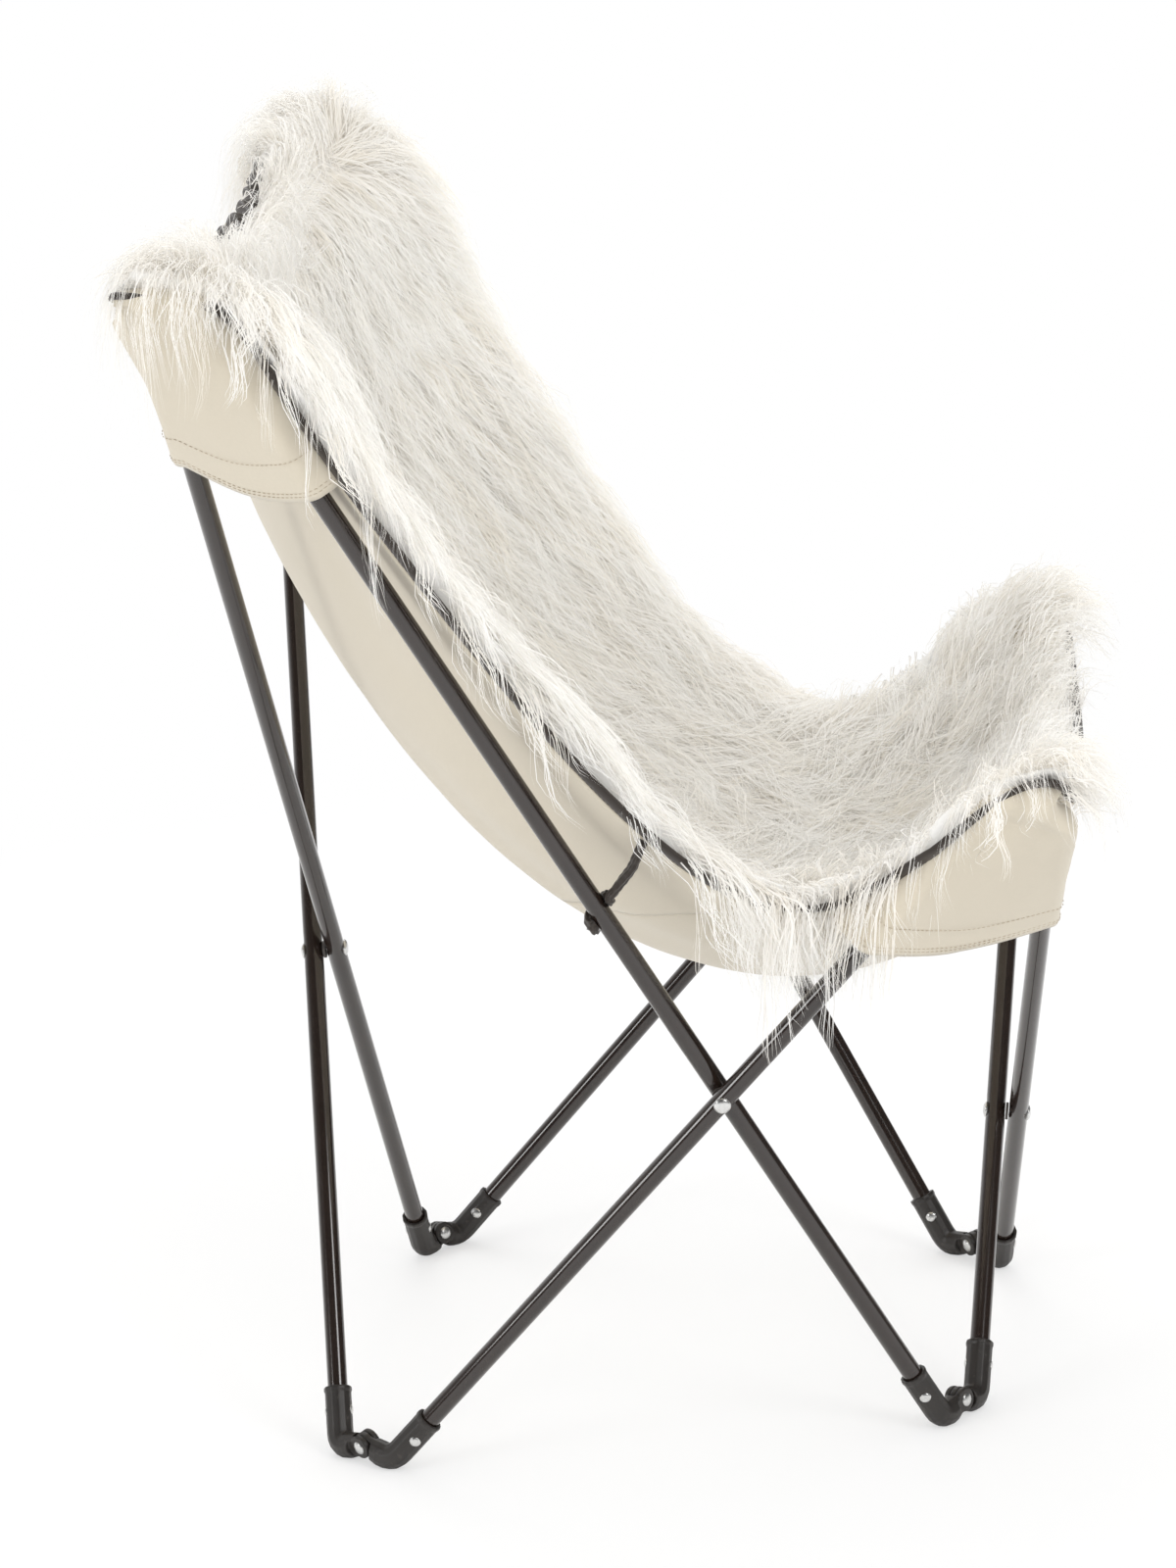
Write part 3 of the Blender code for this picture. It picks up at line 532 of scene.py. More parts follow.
def sling(u, v):
    """Underside of the sling; u from -1 (right) to 1 (left), v from rear to front."""
    s = sizes()
    u, v = np.broadcast_arrays(np.asarray(u, float), np.clip(np.asarray(v, float), 0, 1))
    rear, front = np.array(s.rear_corner), np.array(s.front_corner)
    edge = rear + (front - rear) * v[..., None]
    edge[..., 0] -= s.edge_waist * hump(v, *WAIST_POWERS)
    edge[..., 1] -= s.edge_lean * hump(v, *LEAN_POWERS)
    edge[..., 2] -= s.edge_sag * hump(v, *EDGE_SAG_POWERS)
    flare = s.pocket_flare * eased(v, FLARE_OUT)
    crest = s.pocket_crest * eased(v, FLARE_UP)
    flap = s.pocket_flap * eased(v, FLARE_BACK)
    edge[..., 0] += flare
    edge[..., 1] += flap - crest * CREST_FORWARD
    edge[..., 2] += crest * CREST_RISE - flap * FLAP_DROP
    rear_middle = np.array((0, rear[1], rear[2] - s.rear_edge_drop))
    front_middle = np.array((0, front[1] - s.front_edge_out, front[2] - s.front_edge_drop))
    middle = rear_middle + (front_middle - rear_middle) * v[..., None]
    middle[..., 1] += s.seat_set * hump(v, *SEAT_SET_POWERS)
    middle[..., 2] -= s.seat_sag * hump(v, *SEAT_SAG_POWERS)
    point = middle + (edge - middle) * (np.abs(u) ** s.hollow)[..., None]
    point[..., 0] = edge[..., 0] * u
    return point


def unit(vectors):
    return vectors / np.maximum(np.linalg.norm(vectors, axis=-1, keepdims=True), 1e-12)


def slopes(u, v):
    """Unit vectors along u and v, and the normal toward the sitter."""
    step = 0.004
    u, v = np.broadcast_arrays(np.asarray(u, float), np.asarray(v, float))
    du = sling(np.minimum(u + step, 1), v) - sling(np.maximum(u - step, -1), v)
    dv = sling(u, np.minimum(v + step, 1)) - sling(u, np.maximum(v - step, 0))
    return unit(du), unit(dv), unit(np.cross(dv, du))


def panel_range(panel):
    crease = sizes().crease
    return (0.0, crease) if panel == "back" else (crease, 1.0)


def patch(low, high, rows, across):
    """Places u and v of a grid over a stretch of the sling, at given places across it."""
    v, u = np.meshgrid(np.linspace(low, high, rows), across, indexing="ij")
    return u, v


# Mesh helpers


def piece(name, points, faces, material, uvs=None, edges=()):
    """A smooth mesh object from points and faces or loose edges, with a UV pair for each point."""
    mesh = bpy.data.meshes.new(name)
    mesh.from_pydata([tuple(p) for p in np.asarray(points).reshape(-1, 3)], list(edges), faces)
    mesh.materials.append(material)
    if uvs is not None:
        layer = mesh.uv_layers.new(name="cloth")
        flat = np.asarray(uvs, float).reshape(-1, 2)
        order = np.empty(len(mesh.loops), int)
        mesh.loops.foreach_get("vertex_index", order)
        layer.data.foreach_set("uv", flat[order].ravel())
    mesh.polygons.foreach_set("use_smooth", [True] * len(mesh.polygons))
    obj = bpy.data.objects.new(name, mesh)
    bpy.context.scene.collection.objects.link(obj)
    return obj


def store(obj, label, kind, values):
    """Keep a number or a vector for each point of an object's mesh."""
    layer = obj.data.attributes.new(label, kind, "POINT")
    layer.data.foreach_set("vector" if kind == "FLOAT_VECTOR" else "value", np.ravel(values))


def grid_faces(rows, cols, rolled=False):
    """Quads of a grid of rows by cols points; a rolled grid closes across its columns."""
    faces = []
    for i in range(rows - 1):
        for j in range(cols if rolled else cols - 1):
            k = (j + 1) % cols
            faces.append((i * cols + j, i * cols + k, (i + 1) * cols + k, (i + 1) * cols + j))
    return faces


def pipe_faces(rows, cols):
    """Faces of a pipe of rows rings with cols points each, closed at both ends."""
    ends = [tuple(range(cols)), tuple(range((rows - 1) * cols, rows * cols))]
    return grid_faces(rows, cols, rolled=True) + ends


def turned_over(faces):
    return [tuple(reversed(face)) for face in faces]


def settle(obj):
    """Apply an object's modifiers and keep a plain mesh."""
    bpy.context.view_layer.update()
    graph = bpy.context.evaluated_depsgraph_get()
    mesh = bpy.data.meshes.new_from_object(obj.evaluated_get(graph))
    obj.modifiers.clear()
    obj.data = mesh
    return obj


def outward(obj):
    """Turn a closed mesh's faces outward."""
    shell = bmesh.new()
    shell.from_mesh(obj.data)
    bmesh.ops.recalc_face_normals(shell, faces=shell.faces)
    shell.to_mesh(obj.data)
    shell.free()
    return obj


def thicken(obj, thickness, offset):
    """Give a sheet its thickness, to one side for an offset of 1 and to the other for -1."""
    shell = obj.modifiers.new("cloth", "SOLIDIFY")
    shell.thickness = thickness
    shell.offset = offset
    return settle(obj)


def run_along(points):
    """Length walked to each point of a line."""
    return np.concatenate([[0], np.cumsum(np.linalg.norm(np.diff(points, axis=0), axis=1))])


def points_at(places, run, points):
    """Points of a line at given lengths along it."""
    return np.stack([np.interp(places, run, points[:, k]) for k in range(points.shape[1])], axis=1)


def mean_length(points, axis):
    """Mean length of the lines of a grid of points along one of its axes."""
    return np.linalg.norm(np.diff(points, axis=axis), axis=2).sum(axis=axis).mean()


def angles(count):
    return np.linspace(0, 2 * math.pi, count, endpoint=False)


def sweep(name, path, sides, ups, profile, material):
    """Carry a closed profile of (side, up) pairs along a path with its own side and up vectors."""
    across = sides[:, None] * profile[None, :, 0, None]
    upward = ups[:, None] * profile[None, :, 1, None]
    points = path[:, None] + across + upward
    uvs = np.stack(np.broadcast_arrays(run_along(path)[:, None], run_along(profile)[None, :]), axis=-1)
    return outward(piece(name, points, pipe_faces(len(path), len(profile)), material, uvs=uvs))


def oval(width, depth, count=16, power=2.6):
    """A rounded-rectangle profile."""
    turn = angles(count)
    x, y = np.cos(turn), np.sin(turn)
    return np.stack([np.sign(x) * np.abs(x) ** (2 / power) * width / 2,
                     np.sign(y) * np.abs(y) ** (2 / power) * depth / 2], axis=1)


def wobble(points, scale, seed):
    """Smooth noise from -1 to 1 at points."""
    shift = Vector((seed * 3.1, seed * 7.7, seed * 1.3))
    values = [noise.noise(Vector(p) * scale + shift) for p in points.reshape(-1, 3)]
    return np.array(values).reshape(points.shape[:-1])


# The frame's solids and joints


def node_points(name):
    data = NODES[name].data
    flat = np.empty(len(data.vertices) * 3)
    data.vertices.foreach_get("co", flat)
    return flat.reshape(-1, 3)


def long_axis(name):
    """Lower and upper end of a long CAD solid, on its own axis."""
    slice_depth = 0.002
    points = node_points(name)
    along = np.linalg.svd(points - points.mean(axis=0), full_matrices=False)[2][0]
    if along[2] < 0:
        along = -along
    reach = points @ along
    low = points[reach < reach.min() + slice_depth].mean(axis=0)
    high = points[reach > reach.max() - slice_depth].mean(axis=0)
    return low, high


def side_vectors(along):
    """Two unit vectors square to a direction."""
    helper = np.array((1.0, 0, 0)) if abs(along[0]) < 0.8 else np.array((0, 1.0, 0))
    side = unit(np.cross(along, helper))
    return side, np.cross(along, side)


def folded(body):
    """Matrix that takes a body from rest to the end of the fold, joint by joint from the root."""
    for joint in FRAME["joints"]:
        if joint["child"] == body:
            turn = Matrix.Rotation(math.radians(joint["range_deg"][1]), 4, Vector(joint["axis"]))
            pivot = Matrix.Translation(Vector(joint["pos_m"]))
            return folded(joint["parent"]) @ pivot @ turn @ pivot.inverted()
    return Matrix.Identity(4)


# In the fold, worked out but not applied: the place on each panel's right edge that would stay put,
# and the share of the left tube's way that the panel's left side would follow
FOLD_HOLD = {"back": (0.06, 0.99), "seat": (0.90, 1.1)}
# Share of that way's part along the right tube that the crumpling would leave out
FOLD_SLIDE = 0.5


def drape(obj, panel):
    """Hang a cloth piece on its panel's right tube; the crumple toward there as the left tube comes in is
    worked out but not applied.
    """
    end = "rear" if panel == "back" else "front"
    carrier, incoming = POCKET_TUBES["right_" + end][0], POCKET_TUBES["left_" + end][0]
    place, share = FOLD_HOLD[panel]
    near = Vector(sling(-1.0, place))
    far = Vector(pocket_frame("left_" + end)[0])
    low, high = long_axis(carrier + "_tube")
    tube = Vector(unit(high - low))
    pull = far - folded(carrier).inverted() @ folded(incoming) @ far
    axis = (pull - tube * pull.dot(tube) * FOLD_SLIDE).normalized()
    keep = 1 - share * pull.dot(axis) / axis.dot(far - near)
    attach(obj, carrier)
    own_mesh(obj)
    return obj


# Frame pieces

TUBE_SIDES = 40
TUBE_RINGS = 90
TUBE_INSET = 0.004                  # the even rings start this far from an end
END_STOPS = np.array((0.0, 0.0003, 0.0010))
END_ROLLS = np.array((0.86, 0.95, 1.0))     # share of the radius at those distances from an end
RIVET_BESIDE = 0.02                 # a rivet nearer than this to a tube's axis presses it
PRESS_DEPTH = 0.00035
PRESS_REACH = 0.012


def pressed(ring, centre, along, pivots):
    """A ring of a tube, flattened a little toward the rivets beside it."""
    for pivot in pivots:
        toward = pivot - centre
        near = toward - along * (toward @ along)
        reach = abs(toward @ along)
        if np.linalg.norm(near) < RIVET_BESIDE and reach < PRESS_REACH:
            press = PRESS_DEPTH * (0.5 + 0.5 * math.cos(math.pi * reach / PRESS_REACH))
            facing = ring @ unit(near) / TUBE_RADIUS
            ring = ring - np.outer(np.sign(facing) * np.abs(facing) ** 3, unit(near)) * press
    return ring


def tube_rings(name, pivots):
    """Rings of a drawn tube, with rolled ends."""
    low, high = long_axis(name)
    along = unit(high - low)
    length = np.linalg.norm(high - low)
    side, up = side_vectors(along)
    even = np.linspace(TUBE_INSET, length - TUBE_INSET, TUBE_RINGS)
    stops = np.concatenate([END_STOPS, even, (length - END_STOPS)[::-1]])
    rolls = np.concatenate([END_ROLLS, np.ones(TUBE_RINGS), END_ROLLS[::-1]])
    turn = angles(TUBE_SIDES)
    rings = []
    for stop, roll in zip(stops, rolls):
        centre = low + along * stop
        ring = (np.cos(turn)[:, None] * side + np.sin(turn)[:, None] * up) * TUBE_RADIUS * roll
        rings.append(centre + pressed(ring, centre, along, pivots))
    return np.array(rings)


class CHAIR_OT_tubes(bpy.types.Operator):
    """Smooth drawn tubes with rolled ends, flattened a little under each pivot rivet"""

    bl_idname = "chair.tubes"
    bl_label = "Tubes"

    def execute(self, context):
        material = finish_named(context, "enamel")
        pivots = [node_points(n).mean(axis=0) for n in NODES if n.endswith("cross_rivet")]
        for name in TUBES:
            rings = tube_rings(name, pivots)
            tube = outward(piece("drawn_" + name, rings, pipe_faces(len(rings), TUBE_SIDES), material))
            top = tube.data.polygons[len(tube.data.polygons) - 1]
            top.use_smooth = False
            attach(tube, BODY_OF[name])
            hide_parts(name)
        return {"FINISHED"}


class CHAIR_OT_feet(bpy.types.Operator):
    """Moulded elbows: the CAD solids with their edges rounded as a mould leaves them"""

    bl_idname = "chair.feet"
    bl_label = "Feet"

    def execute(self, context):
        material = finish_named(context, "moulding")
        for name in [n for n in NODES if "_foot_" in n]:
            mesh = NODES[name].data.copy()
            mesh.materials.clear()
            mesh.materials.append(material)
            shell = bmesh.new()
            shell.from_mesh(mesh)
            bmesh.ops.remove_doubles(shell, verts=shell.verts, dist=1e-6)
            shell.to_mesh(mesh)
            shell.free()
            elbow = bpy.data.objects.new("moulded_" + name, mesh)
            context.scene.collection.objects.link(elbow)
            grain = elbow.modifiers.new("mould", "REMESH")
            grain.mode = "VOXEL"
            grain.voxel_size = 0.00075
            grain.use_smooth_shade = True
            ease = elbow.modifiers.new("ease", "SMOOTH")
            ease.factor = 0.5
            ease.iterations = 4
            settle(elbow)
            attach(elbow, BODY_OF[name])
            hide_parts(name)
        return {"FINISHED"}


# Geometry trees


def geometry_tree(name, **defaults):
    """An empty geometry tree with named inputs; returns it with its input node."""
    tree = bpy.data.node_groups.new(name, "GeometryNodeTree")
    tree.interface.new_socket("Geometry", in_out="INPUT", socket_type="NodeSocketGeometry")
    for label, default in defaults.items():
        kind = "NodeSocketInt" if isinstance(default, int) else "NodeSocketFloat"
        tree.interface.new_socket(label, in_out="INPUT", socket_type=kind).default_value = default
    tree.interface.new_socket("Geometry", in_out="OUTPUT", socket_type="NodeSocketGeometry")
    return tree, add_node(tree, "NodeGroupInput")


def close_tree(tree, real, material):
    """End a tree with its real geometry, smooth and in its finish."""
    smooth = add_node(tree, "GeometryNodeSetShadeSmooth", Geometry=real)
    dressed = add_node(tree, "GeometryNodeSetMaterial", Geometry=smooth, Material=material)
    add_node(tree, "NodeGroupOutput", Geometry=dressed)
    return tree


def named(tree, name, kind="FLOAT"):
    """An attribute that the mesh carries."""
    return add_node(tree, "GeometryNodeInputNamedAttribute", {"data_type": kind}, Name=name)


def chance(tree, low, high, seed):
    """A random number for each point."""
    return add_node(tree, "FunctionNodeRandomValue", {"data_type": "FLOAT"}, 1, _2=low, _3=high, Seed=seed)


def turn_to(tree, axis, vector, pivot="AUTO", **more):
    """A rotation that points an axis along a vector."""
    settings = {"axis": axis, "pivot_axis": pivot}
    return add_node(tree, "FunctionNodeAlignRotationToVector", settings, Vector=vector, **more)


def grow(obj, tree, **values):
    """Run a geometry tree on an object and keep its mesh."""
    maker = obj.modifiers.new(tree.name, "NODES")
    maker.node_group = tree
    for item in tree.interface.items_tree:
        key = item.name.lower()
        if item.item_type == "SOCKET" and item.in_out == "INPUT" and key in values:
            maker[item.identifier] = values[key]
    return settle(obj)


# Rivets

RIVET_RISE = 0.40                   # height of a head as a share of its radius
BRIM_SCALE = (1.06, 1.06, 0.09)


def rivet_tree(material):
    """Domed heads with a thin flange on points that carry an axis and a head radius."""
    tree, start = geometry_tree("rivet_heads", Rise=RIVET_RISE)
    ball = add_node(tree, "GeometryNodeMeshUVSphere", Segments=20, Rings=12, Radius=1.0)
    flat = add_node(tree, "ShaderNodeCombineXYZ", X=1.0, Y=1.0, Z=start.output("Rise"))
    dome = add_node(tree, "GeometryNodeTransform", Geometry=ball, Scale=flat)
    flange = add_node(tree, "GeometryNodeMeshUVSphere", Segments=20, Rings=8, Radius=1.0)
    brim = add_node(tree, "GeometryNodeTransform", Geometry=flange, Scale=BRIM_SCALE)
    head = add_node(tree, "GeometryNodeJoinGeometry", Geometry=[dome, brim])
    points = add_node(tree, "GeometryNodeMeshToPoints", Mesh=start)
    placed = add_node(tree, "GeometryNodeInstanceOnPoints", Points=points, Instance=head,
                      Rotation=turn_to(tree, "Z", named(tree, "axis", "FLOAT_VECTOR")),
                      Scale=named(tree, "head_radius"))
    return close_tree(tree, add_node(tree, "GeometryNodeRealizeInstances", Geometry=placed), material)


class CHAIR_OT_rivets(bpy.types.Operator):
    """Bright domed rivet heads at both ends of every rivet"""

    bl_idname = "chair.rivets"
    bl_label = "Rivets"

    def execute(self, context):
        material = finish_named(context, "zinc")
        tree = rivet_tree(material)
        for body, members in BODIES.items():
            nodes = [n for n in members if n.endswith("rivet")]
            if not nodes:
                continue
            points, axes, radii = [], [], []
            for name in nodes:
                low, high = long_axis(name)
                along = unit(high - low)
                cloud = node_points(name)
                off = cloud - low - np.outer((cloud - low) @ along, along)
                radius = np.linalg.norm(off, axis=1).max()
                rise = radius * RIVET_RISE
                points += [low + along * rise, high - along * rise]
                axes += [-along, along]
                radii += [radius, radius]
            heads = piece(body + "_rivet_heads", points, [], material)
            store(heads, "axis", "FLOAT_VECTOR", axes)
            store(heads, "head_radius", "FLOAT", radii)
            grow(heads, tree)
            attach(heads, body)
            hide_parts(*nodes)
        return {"FINISHED"}


class CHAIR_OT_fittings(bpy.types.Operator):
    """Caps, washers and studs keep their CAD shape and get a finish"""

    bl_idname = "chair.fittings"
    bl_label = "Small fittings"

    def execute(self, context):
        for name, node in NODES.items():
            kind = "zinc" if name.endswith("stud") else "nylon" if name.endswith(("cap", "washer")) else None
            if kind:
                node.data.materials.clear()
                node.data.materials.append(finish_named(context, kind))
        return {"FINISHED"}


# Cloth pieces

RUFFLE_HEIGHT, RUFFLE_PITCH, RUFFLE_START = 0.0055, 0.062, 0.8
RUFFLE_FADE = 0.022                 # share of the sling's way over which the scallops die out
# Heights of the canvas folds
BROAD_FOLD, FINE_FOLD, DRAG_FOLD, BELLY_FOLD = 0.0024, 0.0006, 0.0015, 0.0028
BROAD_STRETCH = np.array((1.0, 0.45, 0.45))
CANVAS_ROWS = {"back": 110, "seat": 90}
CANVAS_COLUMNS = 150


def ruffle(points, v):
    """Scallops of the slack rear edge, in metres along the normal."""
    wave = np.sin(points[..., 0] * 2 * math.pi / RUFFLE_PITCH + RUFFLE_START)
    return RUFFLE_HEIGHT * wave * bell(v, 0, RUFFLE_FADE)


def canvas_relief(u, v):
    """Soft drag folds of the hung canvas, in metres along its normal."""
    points = sling(u, v)
    broad = wobble(points * BROAD_STRETCH, scale=9.0, seed=1)
    fine = wobble(points, scale=26.0, seed=2)
    drag = np.zeros(points.shape[:-1])
    for corner_u, corner_v in ((-1, 0), (1, 0), (-1, 1), (1, 1)):
        x, y = np.abs(u - corner_u), np.abs(v - corner_v) * 1.3
        rays = np.sin(np.arctan2(y, x) * 17 + corner_u)
        drag += rays * bell(np.hypot(x, y), middle=0.30, width=0.20)
    belly = bell(v, middle=0.52, width=0.16) * np.sin(u * 19 + 1.4 * np.sin(v * 11)) * (1 - u * u)
    free = ramp(1 - np.abs(u), 0, width=0.10) * ramp(np.minimum(v, 1 - v), 0, width=0.05)
    folds = broad * BROAD_FOLD + fine * FINE_FOLD + drag * DRAG_FOLD + belly * BELLY_FOLD
    return folds * free + ruffle(points, v)


class CHAIR_OT_canvas(bpy.types.Operator):
    """Canvas back and seat, one cloth each, with the folds that hanging leaves"""

    bl_idname = "chair.canvas"
    bl_label = "Canvas"

    def execute(self, context):
        material = finish_named(context, "canvas")
        for panel in PANELS:
            low, high = panel_range(panel)
            rows = CANVAS_ROWS[panel]
            u, v = patch(low, high, rows, np.linspace(-1, 1, CANVAS_COLUMNS))
            points = sling(u, v) + slopes(u, v)[2] * canvas_relief(u, v)[..., None]
            across, down = mean_length(points, 1), mean_length(points, 0)
            uvs = np.stack([u * across / 2, v * down / (high - low)], axis=-1)
            cloth = piece(panel + "_canvas", points, grid_faces(rows, CANVAS_COLUMNS), material, uvs=uvs)
            outward(thicken(cloth, sizes().canvas_thickness, 1.0))
            drape(cloth, panel)
            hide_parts(panel + "_canvas_lining")
        return {"FINISHED"}


EDGE_COUNT = 150                    # places tried along each free edge
EDGE_STEP = 0.003
TAPE_OUT = 0.42                     # middle of the tape outside the edge, as a share of its width
TAPE_LIFT = 0.0012


def edge_walk(panel):
    """Points along the three free edges of a panel, with their places v, outward vectors and normals."""
    low, high = panel_range(panel)
    inner, end = (high, low) if panel == "back" else (low, high)
    side = np.linspace(inner, end, EDGE_COUNT)
    across = np.linspace(-1, 1, EDGE_COUNT)[1:-1]
    u = np.concatenate([np.full(EDGE_COUNT, -1.0), across, np.full(EDGE_COUNT, 1.0)])
    v = np.concatenate([side, np.full(len(across), end), side[::-1]])
    points = sling(u, v)
    run = run_along(points)
    even = np.linspace(0, run[-1], int(run[-1] / EDGE_STEP))
    u, v = np.interp(even, run, u), np.interp(even, run, v)
    points = points_at(even, run, points)
    normal = slopes(u, v)[2]
    along = unit(np.gradient(points, axis=0))
    for _ in range(3):
        along[1:-1] = unit(along[:-2] + along[1:-1] + along[2:])
    out = np.cross(along, normal)
    inside = sling(u * 0.97, np.clip(v, 0.02, 0.98)) - points
    flip = np.sign((out * inside).sum(axis=1))
    out = unit(out * -np.where(flip == 0, 1, flip)[:, None])
    return v, points, out, normal


class CHAIR_OT_binding(bpy.types.Operator):
    """Folded satin tape around the free edges, ruffled along the rear edge"""

    bl_idname = "chair.binding"
    bl_label = "Binding"

    def execute(self, context):
        material = finish_named(context, "satin")
        s = sizes()
        profile = oval(s.binding_width, s.binding_depth)
        for panel in PANELS:
            v, points, out, normal = edge_walk(panel)
            lift = TAPE_LIFT + ruffle(points, v)
            path = points + out * (s.binding_width * TAPE_OUT) + normal * lift[:, None]
            tape = sweep(panel + "_edge_tape", path, out, normal, profile, material)
            drape(tape, panel)
            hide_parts(panel + "_binding")
        return {"FINISHED"}


# Pockets

POCKET_POINTS = 96                  # points round a ring
HEM_RINGS, TIP_RINGS = 30, 24
POCKET_RADIUS = 0.0128              # cloth round a tube
POCKET_TIP_RADIUS = 0.0004          # what is left of that at the closed tip
CAP_ROOM = 0.0065                   # cloth above the tube caps before it closes
CLOSING_DEPTH = 0.012               # least height in which it closes
LIP_RADIUS, FLAP_RADIUS = 0.0012, 0.002
POCKET_REACH = 0.35                 # share of the side edge beside a pocket
HEM_ROLL, HEM_ROLL_AT, HEM_ROLL_WIDTH = 0.0012, 0.006, 0.007
CRUMPLE_DEPTH = 0.0004              # no crumple goes deeper, so that the tubes stay covered


def pocket_frame(corner):
    """Middle, tops and slopes of a corner's tubes, with the directions down, across and out of the pocket."""
    lines = [long_axis(body + "_tube") for body in POCKET_TUBES[corner]]
    downs = [unit(low - high) for low, high in lines]
    mean = unit(downs[0] + downs[1])
    tops = [high for _, high in lines]
    base = (tops[0] + tops[1]) / 2
    across = unit((tops[1] - tops[0]) - mean * ((tops[1] - tops[0]) @ mean))
    return base, tops, downs, mean, across, np.cross(mean, across)


def hull(points):
    """Corner points of the convex hull of points in a plane, in turning order."""
    points = sorted(map(tuple, points))

    def half(row):
        chain = []
        for p in row:
            while len(chain) > 1:
                a, b = chain[-2], chain[-1]
                if (b[0] - a[0]) * (p[1] - a[1]) - (b[1] - a[1]) * (p[0] - a[0]) > 0:
                    break
                chain.pop()
            chain.append(p)
        return chain[:-1]

    return np.array(half(points) + half(points[::-1]))


def even_ring(corners, count, start):
    """Evenly spaced points along a closed outline, from the point nearest a direction."""
    closed = np.concatenate([corners, corners[:1]])
    run = run_along(closed)
    first = run[np.argmax(corners @ start)]
    steps = (first + np.linspace(0, run[-1], count, endpoint=False)) % run[-1]
    return points_at(steps, run, closed)


def pocket_rings(corner):
    """Rings of a corner pocket, hem first: cloth drawn round two tubes and the sling's edge."""
    s = sizes()
    base, tops, downs, mean, across, face = pocket_frame(corner)
    side = -1 if corner.startswith("right") else 1
    rear = corner.endswith("rear")
    hem, rise = (s.rear_hem, s.rear_hem_rise) if rear else (s.front_hem, s.front_hem_rise)
    v = np.linspace(0, POCKET_REACH, 200) if rear else np.linspace(1, 1 - POCKET_REACH, 200)
    edge = sling(np.full(len(v), side), v)
    edge_down = (edge - base) @ mean
    turn = angles(28)
    circle = np.stack([np.cos(turn), np.sin(turn)], axis=1)

    def ring_round(spot, radius):
        return np.array([(spot - base) @ across, (spot - base) @ face]) + circle * radius

    above_caps = min((top - base) @ mean for top in tops) - CAP_ROOM
    tip = min(edge_down.min() - 0.001, above_caps - CLOSING_DEPTH)
    levels = np.concatenate([np.linspace(hem, 0.0, HEM_RINGS), np.linspace(0.0, tip, TIP_RINGS)[1:]])
    rings = []
    for level in levels:
        close = np.clip((level - above_caps) / (tip - above_caps), 0, 1)
        upper = 1 - np.clip(level / hem, 0, 1)
        size = POCKET_RADIUS * math.sqrt(max(1 - close ** 3, 0.0)) + POCKET_TIP_RADIUS
        lift = rise * max(level, 0.0) / hem
        spots = []
        for top, down, drop in zip(tops, downs, (level, level - lift)):
            spots.append(top + down * ((base - top) @ mean + drop) / (down @ mean))
        lip = edge[np.argmin(np.abs(edge_down - level))]
        if close > 0:
            under = lip - np.array((0, 0, size * 1.1))
            spots = [spot + (under - spot) * close * 0.95 for spot in spots]
        roomy = size + s.pocket_room * upper * (1 - close)
        outline = [ring_round(spots[0], size), ring_round(spots[1], roomy), ring_round(lip, LIP_RADIUS)]
        if rear:
            flap = spots[1] + np.array((0, s.pocket_flap * upper, 0))
            outline.append(ring_round(flap + (lip - flap) * close ** 3, FLAP_RADIUS))
        flat = np.concatenate(outline)
        centre = flat.mean(axis=0)
        ring = even_ring(hull(flat - centre), POCKET_POINTS, np.array((1.0, 0.0))) + centre
        ends = [(spot - base) @ across for spot in spots]
        share = np.clip((ring[:, :1] - ends[0]) / (ends[1] - ends[0]), 0, 1)
        belly = s.hem_belly * max(level, 0.0) / hem * np.sin(math.pi * share)
        rings.append(base + mean * (level - lift * share + belly) + ring[:, :1] * across + ring[:, 1:] * face)
    return np.array(rings), levels, hem


class CHAIR_OT_pockets(bpy.types.Operator):
    """Canvas pockets over the four pairs of tube ends, with turned hems"""

    bl_idname = "chair.pockets"
    bl_label = "Pockets"

    def execute(self, context):
        material = finish_named(context, "canvas")
        for corner, (body, _) in POCKET_TUBES.items():
            rings, levels, hem = pocket_rings(corner)
            rows, cols = rings.shape[:2]
            out = unit(rings - rings.mean(axis=1, keepdims=True))
            crumple = wobble(rings, scale=22.0, seed=3) * 0.0011
            crumple += wobble(rings, scale=60.0, seed=4) * 0.0004
            hem_roll = np.exp(-((levels - hem + HEM_ROLL_AT) / HEM_ROLL_WIDTH) ** 2) * HEM_ROLL
            lift = np.maximum(crumple, -CRUMPLE_DEPTH) + hem_roll[:, None]
            points = rings + out * lift[..., None]
            perimeter = mean_length(points, 1)
            around = np.linspace(0, perimeter, cols)[None, :]
            uvs = np.stack(np.broadcast_arrays(around, -levels[:, None]), axis=-1)
            tip = tuple(range((rows - 1) * cols, rows * cols))
            faces = grid_faces(rows, cols, rolled=True) + [tip]
            pocket = outward(piece(corner + "_canvas_pocket", points, faces, material, uvs=uvs))
            thicken(pocket, sizes().pocket_thickness, -1.0)
            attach(pocket, body)
            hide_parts(corner + "_pocket")
        return {"FINISHED"}


# Stitches

HEM_INSETS = (0.005, 0.008)         # the double row above a hem
SEAM_INSETS = {"rear": 0.034, "front": 0.026}
HEM_STITCH_LIFT = 0.0016
TAPE_STITCH_OUT, TAPE_STITCH_SINK = 0.0012, 0.0013
CREASE_STITCH_SHIFT = {"back": -0.006, "seat": 0.006}
CREASE_STITCH_SINK = 0.0003


